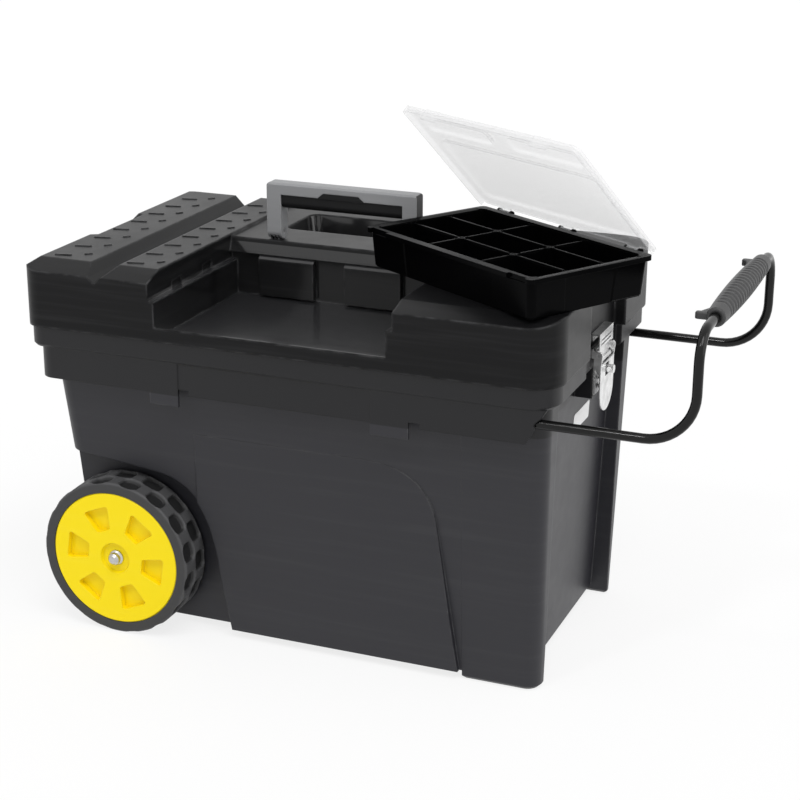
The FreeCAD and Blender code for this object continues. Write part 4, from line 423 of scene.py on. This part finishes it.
def prism(plan, foot, head):
    """A flat plan, raised from the height of its foot to that of its head."""
    shape = bmesh.new()
    face = shape.faces.new([shape.verts.new((x, y, foot)) for x, y in plan])
    raised = bmesh.ops.extrude_face_region(shape, geom=[face])["geom"]
    corners = [part for part in raised if isinstance(part, bmesh.types.BMVert)]
    bmesh.ops.translate(shape, verts=corners, vec=(0.0, 0.0, head - foot))
    bmesh.ops.recalc_face_normals(shape, faces=shape.faces)
    return shape


def round_edges(shape, radius):
    bmesh.ops.bevel(shape, geom=shape.edges[:], offset=radius, segments=3, profile=0.5, affect="EDGES")


grip_shape = bmesh.new()
grip_rings = []
for along in (grip_start + (grip_end - grip_start) * row / grip_rows for row in range(grip_rows + 1)):
    ring = []
    for turn in turns_round(grip_turns):
        reach = grip_radius(along, turn)
        ring.append(grip_shape.verts.new((reach * math.cos(turn), along, reach * math.sin(turn))))
    grip_rings.append(ring)
for along in (grip_end, grip_start):
    bore_points = [(tube_radius * math.cos(turn), along, tube_radius * math.sin(turn))
                   for turn in turns_round(grip_turns)]
    grip_rings.append([grip_shape.verts.new(point) for point in bore_points])
skin(grip_shape, grip_rings)
ribbed_grip = fit_piece(grip_shape, "ribbed_grip", grip_plastic, grip_place, "pull_handle")
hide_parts("pull_grip")
wing_half = 0.0035
wing_edge = 0.0012
wing_outline = ((-0.008, 0.0), (-0.018, 0.0), (-0.0205, 0.0015), (-0.0205, 0.0075), (-0.016, 0.0085),
                (-0.0145, 0.013), (-0.0095, 0.024))
for wing_name, wing_end, way in (("grip_wing_front", grip_start, 1), ("grip_wing_back", grip_end, -1)):
    wing_plan = [(out, wing_end + way * along) for out, along in wing_outline]
    wing_shape = prism(wing_plan, -wing_half, wing_half)
    round_edges(wing_shape, wing_edge)
    for face in wing_shape.faces:
        face.smooth = True
    fit_piece(wing_shape, wing_name, grip_plastic, grip_place, "pull_handle")


# Draw latch: base, lever, link and catch stamped from sheet steel and plated with bright zinc.
# The base is riveted to the tub's end and the catch sits on the lid.
bright_zinc = (0.84, 0.84, 0.84, 1.0)
bright = plated_steel("bright_steel", bright_zinc, roughness=0.3, edge_radius=0.0005)
dress(bright, "latch_base", "latch_staple", "latch_lever", "latch_link", "latch_link_pin", "lid_catch")


# Rivets: two round-headed steel rivets, plated like the latch.
# They hold the latch's base to the tub, and the lever hides them when it is shut.
rivet_radius = 0.0032
rivet_height = 0.0018
rivet_sunk = 0.0003
rivet_turns = 24
low_rivet_up = 0.0065
high_rivet_up = 0.0165
dome_turns = [math.radians(degrees) for degrees in range(0, 90, 15)]
rivet_outline = [(rivet_radius, -rivet_sunk)]
rivet_outline += [(rivet_radius * math.cos(turn), rivet_height * math.sin(turn)) for turn in dome_turns]
base_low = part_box("latch_base")[0]
base_sheet = 0.0015
for rivet_name, rivet_up in (("latch_rivet_low", low_rivet_up), ("latch_rivet_high", high_rivet_up)):
    rivet_shape = bmesh.new()
    rivet_rings = [[rivet_shape.verts.new((radius * math.cos(turn), radius * math.sin(turn), height))
                    for turn in turns_round(rivet_turns)] for radius, height in rivet_outline]
    rivet_foot = rivet_shape.verts.new((0.0, 0.0, -rivet_sunk))
    rivet_top = rivet_shape.verts.new((0.0, 0.0, rivet_height))
    for step in range(rivet_turns):
        following = (step + 1) % rivet_turns
        rivet_shape.faces.new((rivet_foot, rivet_rings[0][following], rivet_rings[0][step]))
        rivet_shape.faces.new((rivet_rings[-1][step], rivet_rings[-1][following], rivet_top))
        for low, high in zip(rivet_rings, rivet_rings[1:]):
            rivet_shape.faces.new((low[step], low[following], high[following], high[step]))
    for face in rivet_shape.faces:
        face.smooth = True
    rivet_seat = Matrix.Translation((base_low[0] + base_sheet, 0.0, base_low[2] + rivet_up))
    fit_piece(rivet_shape, rivet_name, bright, rivet_seat @ Matrix.Rotation(math.pi / 2, 4, "Y"),
              "tub")


# End plate: a bare panel die-cut from white vinyl, with round corners.
# It is pressed onto the tub's end wall beside the latch and follows the wall's slope.
plate_white = (0.8, 0.8, 0.8, 1.0)
plate_soiled = (0.66, 0.65, 0.62, 1.0)
plate_length = 0.057
plate_height = 0.02
plate_corner = 0.003
plate_thickness = 0.0005
plate_sunk = 0.0002
plate_middle_y = 0.0175
plate_middle_z = 0.2545
wall_foot = Vector((0.1895, 0.0, 0.01))
wall_head = Vector((0.203, 0.0, 0.323))
wall_across = Vector((0.0, 1.0, 0.0))
wall_up = (wall_head - wall_foot).normalized()
wall_turn = Matrix((wall_across, wall_up, wall_across.cross(wall_up))).transposed()
plate_plan = []
for corner, (across, up) in enumerate(((1, 1), (-1, 1), (-1, -1), (1, -1))):
    for turn in (math.radians(90 * corner + degrees) for degrees in range(0, 91, 18)):
        plate_plan.append((across * (plate_length / 2 - plate_corner) + plate_corner * math.cos(turn),
                           up * (plate_height / 2 - plate_corner) + plate_corner * math.sin(turn)))
plate_share = (plate_middle_z - wall_foot.z) / (wall_head.z - wall_foot.z)
plate_seat = wall_foot.lerp(wall_head, plate_share) + plate_middle_y * wall_across
plate_vinyl = moulded_plastic("plate_vinyl", plate_white, plate_soiled, roughness=0.35, edge_radius=0.0003,
                              grain_height=0.00002, shine=0.5)
fit_piece(prism(plate_plan, -plate_sunk, plate_thickness), "end_plate", plate_vinyl,
          Matrix.Translation(plate_seat) @ wall_turn.to_4x4(), "tub")


# Lid: one hollow black polypropylene moulding that turns on the two hinge pins at the wheel end.
# Its mould is grained over the treads and polished in the tool tray and in the finger pocket.
lid_black = (0.005, 0.005, 0.0055, 1.0)
# Paler black that paints a reflection on the tray's floor.
tray_painted_sheen = (0.018, 0.018, 0.0195, 1.0)
lid_plastic = moulded_plastic("lid_plastic", lid_black, black_rubbed_lit, roughness=0.36, edge_radius=0.004,
                              grain_height=0.0001, shine=0.16)
lid_wire = Wire(lid_plastic.node_tree)
lid_place = lid_wire.place()
polish_fade = 0.0008
polish_roughness = 0.1
level_limits = (0.5, 0.9)


def inside_box(low, high):
    """One inside a box of the lid's own place, and zero outside it."""
    share = 1.0
    for axis, start, end in zip("XYZ", low, high):
        along = lid_place.part(axis)
        share = share * along.rise(start - polish_fade, start) * (1 - along.rise(end, end + polish_fade))
    return share


tray_low = (-0.2135, -0.1805, 0.3492)
tray_high = (0.0605, 0.0125, 0.41)
finger_pocket_low = (-0.174, 0.046, 0.3832)
finger_pocket_high = (0.0065, 0.146, 0.413)
in_tray = inside_box(tray_low, tray_high)
in_finger_pocket = inside_box(finger_pocket_low, finger_pocket_high)
lid_wire.shade("Coat Weight", lid_wire.math("MAXIMUM", in_tray, in_finger_pocket))
lid_wire.shade("Coat Roughness", polish_roughness)
# The tray's up-facing floor is painted paler: a painted reflection of the light above.
repaint(lid_plastic, in_tray * lid_wire.outward().part("Z").rise(*level_limits), tray_painted_sheen)
dress(lid_plastic, "lid_shell")


# Carry handle: a black nylon bow with a grey shell over it, and a black soft grip let into its underside.
# The bow's own black shows at the two ends, where the shell is open.
handle_grey_colour = (0.275, 0.278, 0.286, 1.0)
# Paler grey for edges: partly wear, partly a painted highlight along the top edge.
handle_rubbed_lit = (0.55, 0.55, 0.56, 1.0)
insert_black = (0.008, 0.008, 0.0085, 1.0)
handle_grey = moulded_plastic("handle_grey", handle_grey_colour, handle_rubbed_lit, roughness=0.45,
                              edge_radius=0.0015, grain_height=0.0003, shine=0.3)
handle_low, handle_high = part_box("carry_handle_frame")
handle_end = 0.004
handle_fade = 0.0004
endways_limits = (0.6, 0.75)
handle_wire = Wire(handle_grey.node_tree)
handle_along = handle_wire.place().part("X")
far_end = handle_high[0] - handle_end
near_end = handle_low[0] + handle_end
at_ends = (handle_along.rise(far_end, far_end + handle_fade)
           + (1 - handle_along.rise(near_end - handle_fade, near_end)))
endways = abs(handle_wire.outward().part("X")).rise(*endways_limits)
repaint(handle_grey, at_ends * endways, insert_black)
dress(handle_grey, "carry_handle_frame")
handle_black = moulded_plastic("handle_black", insert_black, black_rubbed_lit, roughness=0.5, edge_radius=0.001,
                               grain_height=0.00008, shine=0.2)
dress(handle_black, "carry_handle_insert")


# Organizer: a glossy black polystyrene tray of nine cells that lies loose on the lid, with straight
# divider tops and a thin guard over each corner. Its clear cover is hinged on clips at one long side.
organizer_colour = (0.0012, 0.0012, 0.0014, 1.0)
# Paler black for edges: partly wear, partly a painted highlight.
organizer_rubbed_lit = (0.005, 0.005, 0.0052, 1.0)
organizer_black = moulded_plastic("organizer_black", organizer_colour, organizer_rubbed_lit, roughness=0.22,
                                  edge_radius=0.0008, grain_height=0.00004, shine=0.03)
dress(organizer_black, "organizer_tray")
organizer_middle = (0.1325, -0.0505, 0.4163)
organizer_yaw = math.radians(-31.0)
organizer_seat = Matrix.Translation(organizer_middle) @ Matrix.Rotation(organizer_yaw, 4, "Z")
wall_length = 0.126
wall_width = 0.074
wall_draft = 0.003
wall_rise = 0.042
wall_corner = 0.006
guard_low = 0.0012
guard_high = 0.0364
guard_proud = 0.0012
guard_sunk = 0.0006
guard_edge = 0.0005
guard_long = 0.058
guard_short = 0.044


def guard_ring(height, proud):
    """Plan of a corner guard at one height: along the long wall, round the corner, along the short wall."""
    draft = wall_draft * height / wall_rise
    x = wall_length + draft + proud
    y = wall_width + draft + proud
    corner = wall_corner + proud
    plan = [(x - guard_long, -y)]
    for turn in (math.radians(degrees) for degrees in range(-90, 1, 15)):
        plan.append((x - corner + corner * math.cos(turn), -y + corner + corner * math.sin(turn)))
    plan.append((x, -y + guard_short))
    return [(along, across, height) for along, across in plan]


guard_rows = [guard_ring(height, proud) for height, proud in (
    (guard_low, -guard_sunk), (guard_low, guard_proud - guard_edge),
    (guard_low + guard_edge, guard_proud), (guard_high - guard_edge, guard_proud),
    (guard_high, guard_proud - guard_edge), (guard_high, -guard_sunk))]
for guard_name, short_side, long_side in (
        ("organizer_guard_front_outer", 1, 1), ("organizer_guard_back_outer", 1, -1),
        ("organizer_guard_front_inner", -1, 1), ("organizer_guard_back_inner", -1, -1)):
    guard_shape = bmesh.new()
    grid = [[guard_shape.verts.new((short_side * along, long_side * across, height))
             for along, across, height in row] for row in guard_rows]
    for low, high in zip(grid, grid[1:] + grid[:1]):
        for step in range(len(low) - 1):
            guard_shape.faces.new((low[step], low[step + 1], high[step + 1], high[step]))
    guard_shape.faces.new([row[0] for row in grid])
    guard_shape.faces.new([row[-1] for row in grid])
    bmesh.ops.recalc_face_normals(guard_shape, faces=guard_shape.faces)
    fit_piece(guard_shape, guard_name, organizer_black, organizer_seat, "organizer")

divider_top = 0.04
divider_height = 0.0036
divider_width = 0.0024
divider_edge = 0.0005
cells_length = 0.2484
cells_width = 0.1444
column_offset = cells_length / 6
row_offset = cells_width / 6
for divider_name, bar_length, bar_width, bar_x, bar_y in (
        ("divider_cross_inner", divider_width, cells_width, -column_offset, 0.0),
        ("divider_cross_outer", divider_width, cells_width, column_offset, 0.0),
        ("divider_long_front", cells_length, divider_width, 0.0, -row_offset),
        ("divider_long_back", cells_length, divider_width, 0.0, row_offset)):
    bar_plan = [(bar_x + along * bar_length / 2, bar_y + across * bar_width / 2)
                for along, across in ((1, 1), (-1, 1), (-1, -1), (1, -1))]
    bar_shape = prism(bar_plan, divider_top - divider_height, divider_top)
    round_edges(bar_shape, divider_edge)
    fit_piece(bar_shape, divider_name, organizer_black, organizer_seat, "organizer")

cover_clear = (0.9, 0.9, 0.91, 1.0)
# Paler white for edges: partly wear, partly a painted highlight.
cover_rubbed_lit = (0.93, 0.93, 0.94, 1.0)
cover_alpha = 0.2
clear_cover = moulded_plastic("clear_cover", cover_clear, cover_rubbed_lit, roughness=0.3, edge_radius=0.0004,
                              grain_height=0.00002, shine=0.5)
Wire(clear_cover.node_tree).shade("Alpha", cover_alpha)
dress(clear_cover, "organizer_cover")


# Floor: a wide pale sheet under soft, even light, with a white surround for metal and plastic to mirror.
# The sheet is white to the eye and in mirrors, and a share of its own shade keeps the chest's shadow.
def seen_or_mirrored(wire):
    """One for rays from the camera, from a mirror or through glass, and zero for the light itself."""
    seen = wire.node("LightPath", {}, {}, "Is Camera Ray")
    rays = seen.socket.node.outputs
    mirrored = wire.math("MAXIMUM", Wire(wire.tree, rays["Is Glossy Ray"]),
                         Wire(wire.tree, rays["Is Transmission Ray"]))
    return wire.math("MAXIMUM", seen, mirrored)


white = (1.0, 1.0, 1.0, 1.0)
paper_white = (0.93, 0.93, 0.93, 1.0)
paper_glow = 0.8
floor_half = 12.0
floor_mesh = bpy.data.meshes.new("floor")
floor_corners = [(-floor_half, -floor_half, 0.0), (floor_half, -floor_half, 0.0),
                 (floor_half, floor_half, 0.0), (-floor_half, floor_half, 0.0)]
floor_mesh.from_pydata(floor_corners, [], [(0, 1, 2, 3)])
floor = bpy.data.objects.new("floor", floor_mesh)
bpy.context.scene.collection.objects.link(floor)
floor_paper, floor_wire = open_finish("floor_paper")
floor_wire.shade("Base Color", paper_white)
floor_wire.shade("Roughness", 0.9)
floor_wire.shade("Specular IOR Level", 0.0)
floor_nodes = floor_paper.node_tree.nodes
shaded = Wire(floor_paper.node_tree, floor_nodes["Principled BSDF"].outputs["BSDF"])
glowing = floor_wire.node("Emission", {}, {"Color": white, "Strength": 1.0}, "Emission")
glow_share = paper_glow * seen_or_mirrored(floor_wire)
paper = floor_wire.node("MixShader", {}, {0: glow_share, 1: shaded, 2: glowing})
floor_wire.plug(floor_nodes["Material Output"].inputs["Surface"], paper)
floor_mesh.materials.append(floor_paper)

fill_level = 0.6
world = bpy.data.worlds.new("studio")
world.use_nodes = True
bpy.context.scene.world = world
studio = Wire(world.node_tree)
background = world.node_tree.nodes["Background"]
background.inputs["Color"].default_value = white
studio.plug(background.inputs["Strength"], fill_level + (1 - fill_level) * seen_or_mirrored(studio))


def soft_lamp(name, azimuth, elevation, strength, width):
    """A wide lamp far away, placed like a view: azimuth 0 shines along +Y, 90 along -X."""
    light = bpy.data.lights.new(name, "SUN")
    light.energy = strength
    light.angle = math.radians(width)
    lamp = bpy.data.objects.new(name, light)
    lamp.rotation_euler = (math.radians(90 - elevation), 0.0, math.radians(azimuth))
    bpy.context.scene.collection.objects.link(lamp)


soft_lamp("overhead", azimuth=40.0, elevation=62.0, strength=1.25, width=32.0)
soft_lamp("side", azimuth=95.0, elevation=25.0, strength=0.62, width=50.0)
soft_lamp("strip", azimuth=-22.4, elevation=50.0, strength=0.34, width=6.0)


# Camera: at the photograph's angle, found from the box's own straight edges.
# It stands before the long side, towards the latch end, and looks down on the lid.
camera_yaw = math.radians(21.85)
camera_pitch = math.radians(19.15)
camera_roll = math.radians(0.24)
camera_place = Vector((0.7248, -1.8162, 0.9304))
camera_data = bpy.data.cameras.new("camera")
camera_data.sensor_width = 36.0
camera_data.lens = 84.0
camera = bpy.data.objects.new("camera", camera_data)
camera.matrix_world = (Matrix.Translation(camera_place) @ Matrix.Rotation(camera_yaw, 4, "Z")
                       @ Matrix.Rotation(math.pi / 2 - camera_pitch, 4, "X")
                       @ Matrix.Rotation(camera_roll, 4, "Z"))
bpy.context.scene.collection.objects.link(camera)
bpy.context.scene.camera = camera
bpy.context.scene.view_settings.view_transform = "Standard"
